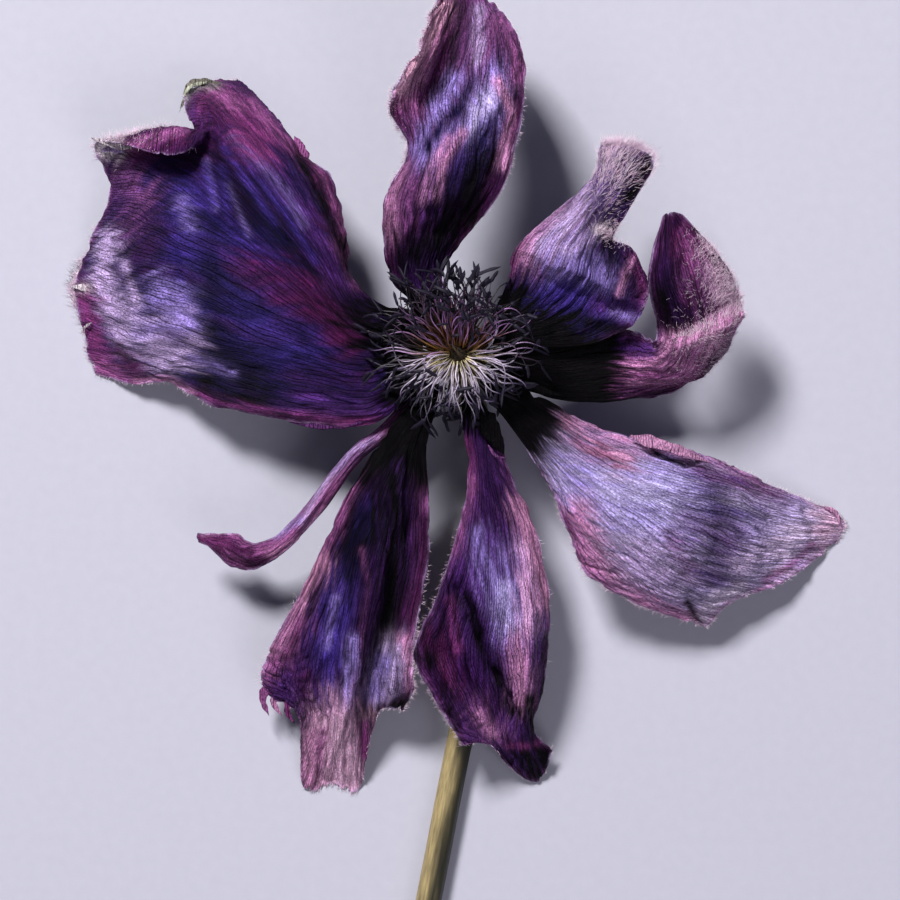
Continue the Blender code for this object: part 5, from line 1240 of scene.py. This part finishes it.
def make_boss():
    """The dome, rings of falling radius, and its styles, which lean out from it by the golden angle."""
    draw = np.random.default_rng(53)
    turn = np.linspace(0, np.pi / 2, 12)
    spine = np.zeros((1, 12, 3))
    spine[0, :, 2] = BOSS_FOOT + BOSS_HEIGHT * np.sin(turn)
    wide = BOSS_RADIUS * np.cos(turn) + 0.01
    dome, dome_faces = tubes(spine, wide, wide, 24, np.array([0.0, 1.0, 0.0]))
    count = 90
    number = np.arange(count) + 0.5
    lean = np.arccos(1 - 0.85 * number / count)
    angle = number * np.pi * (3 - np.sqrt(5))
    out = np.stack([np.sin(lean) * np.cos(angle), np.sin(lean) * np.sin(angle), np.cos(lean)], axis=1)
    foot = np.array([0, 0, BOSS_FOOT]) + out * (1.5, 1.5, 2.05)  # just inside the dome
    s = np.linspace(0, 1, 6)
    way = unit(out + draw.normal(0, 0.2, out.shape))
    long = draw.uniform(0.5, 0.95, count)
    curl = draw.normal(0, 0.25, out.shape)
    paths = foot[:, None] + way[:, None] * (long[:, None] * s)[..., None] + curl[:, None] * (s**2)[:, None]
    styles, style_faces = tubes(paths, 0.1 * (1.1 - s), 0.1 * (1.1 - s), 5, np.array([0.3, 0.2, 0.9]))
    points = np.concatenate([dome, styles])
    made = fresh_object("seed_head", points, np.concatenate([dome_faces, style_faces + len(dome)]))
    made.data.materials.append(boss_skin)
    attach(made, "root")
    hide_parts("pistils")


make_boss()

# Stem: a round, finely ribbed stalk, painted tan green on its left side as if lit and dark on its right as
# painted shade. It swells into the receptacle, which carries the tepals, and was cut at its lower end.
STEM_ROUTE = [
    (0.0, 0.0, 12.0), (0.0, 0.0, 10.6), (0.2, -0.5, 8.0), (0.9, -2.6, 5.0), (1.9, -6.6, 3.0),
    (2.8, -12.0, 2.0), (3.3, -18.5, 1.4), (3.2, -25.5, 1.25), (2.0, -32.0, 1.25), (0.3, -39.0, 1.25),
    (-2.8, -54.8, 1.25), (-6.2, -72.0, 1.25),
]
# painted shade for the right side, painted light for the left side, and the pale cut end
STALK_SHADED, STALK_LIT, STALK_CUT = "#22220f", "#a39266", "#b8a878"

# Dried stalk: fibrous rind with fine ribs, olive to tan, slightly waxy. A unit of its map is 10 mm.
stem_skin = washed_skin("dried stalk", "UV", (45, 5, 1), 4, (0.6, 1.3), 0.55, (0.6, 0.00008))


def make_stem():
    """The stalk: a round section with shallow ribs carried along its route, which is drawn smooth through its
    points. Its radius follows the receptacle's button first and then the stalk's slight taper. Its left side
    is painted tan as lit and its right side dark as painted shade."""
    rings, sides = 180, 28
    s = np.linspace(0, 1, rings) ** 1.6
    path = blade_points([STEM_ROUTE, STEM_ROUTE], np.zeros(rings), s)
    gone = np.concatenate([[0], np.cumsum(np.linalg.norm(np.diff(path, axis=0), axis=1))])
    button = (0, 0.05, 0.6, 1.8, 2.5, 3.4, 5.0, 200), (2.4, 2.5, 3.1, 3.1, 2.2, 1.7, 1.3, 1.25)
    radius = np.interp(gone, *button)
    way = unit(np.gradient(path, axis=0))
    side = unit(np.cross(way, [1.0, 0.1, 0.0]))
    up = np.cross(side, way)
    turn = np.arange(sides) * 2 * np.pi / sides
    rib = 1 + 0.02 * np.cos(8 * turn)[None] + 0.03 * noise(turn[None] * 1.5, gone[:, None] / 6, 5)
    ring = np.cos(turn)[None, :, None] * side[:, None] + np.sin(turn)[None, :, None] * up[:, None]
    body = path[:, None] + ring * (radius[:, None] * rib)[..., None]
    points = np.concatenate([body.reshape(-1, 3), path[:1], path[-1:]])
    points[:, 2] = np.maximum(points[:, 2], 0.0)
    # painted light: tan on the left side as lit, dark on the right as painted shade
    tan = fade_in(0.55, -0.75, np.sin(turn)[None] + noise(turn[None] * 1.6, gone[:, None] / 6, 6))[..., None]
    colour = (linear(STALK_SHADED) * (1 - tan) + linear(STALK_LIT) * tan).reshape(-1, 3)
    colour = np.concatenate([colour, [linear(STALK_SHADED)], [linear(STALK_CUT)]])
    uv = np.stack(np.broadcast_arrays(turn[None] * 1.28, gone[:, None]), axis=-1).reshape(-1, 2) / 10
    uv = np.concatenate([uv, uv[:1], uv[-1:]])
    made = fresh_object("dried_stem", points, tube_faces(rings, sides), colour, uv)
    made.data.materials.append(stem_skin)
    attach(made, "root")
    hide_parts("stem")


make_stem()

# Floor: plain pale matt paper, wide enough that no edge shows from any side. It lies 0.1 mm under the
# flower, whose lowest points would cut into it otherwise.
floor_skin = speckled_skin("pale paper", ("#b8b9c8", "#bfc0ce"), 900, 2, {"Roughness": 0.9})
bpy.ops.mesh.primitive_plane_add(size=6.0, location=(0, 0, -0.0001))
floor = bpy.context.object
floor.name = "floor"
floor.data.materials.append(floor_skin)

# Light and camera: one low key light from the upper left, as in the photograph, which rakes over the
# ribs, and two weak broad fills, from above and from the lower right. The camera looks straight down on
# the flower's face.


def add_light(name, at, size, watts, colour):
    """A square area light at that place, in metres, which faces the flower."""
    light = bpy.data.lights.new(name, "AREA")
    light.shape = "SQUARE"
    light.size = size
    light.energy = watts
    light.color = colour
    made = bpy.data.objects.new(name, light)
    bpy.context.scene.collection.objects.link(made)
    made.location = at
    aim = -made.location
    made.rotation_euler = aim.to_track_quat("-Z", "Y").to_euler()


add_light("key", (-0.26, 0.485, 0.61), 0.18, 9.4, (1.0, 0.97, 0.96))
add_light("fill", (0.1, -0.1, 0.9), 0.9, 0.5, (0.86, 0.9, 1.0))
add_light("low fill", (0.3, -0.42, 0.55), 0.5, 1.5, (1.0, 0.93, 1.0))

world = bpy.data.worlds.new("studio")
world.use_nodes = True
world.node_tree.nodes["Background"].inputs["Color"].default_value = (0.55, 0.6, 0.8, 1)
world.node_tree.nodes["Background"].inputs["Strength"].default_value = 0.06
bpy.context.scene.world = world

PHOTO_MIDDLE = np.array([-0.8, -9.8, 460.5])  # from the hub, with the camera's height
camera = bpy.data.cameras.new("camera")
camera.sensor_width = 36
camera.lens = 180  # the view is 90 mm wide at 10.5 mm above the floor
eye = bpy.data.objects.new("camera", camera)
bpy.context.scene.collection.objects.link(eye)
eye.location = (HUB + PHOTO_MIDDLE) * MM
bpy.context.scene.camera = eye
bpy.context.scene.view_settings.view_transform = "Standard"
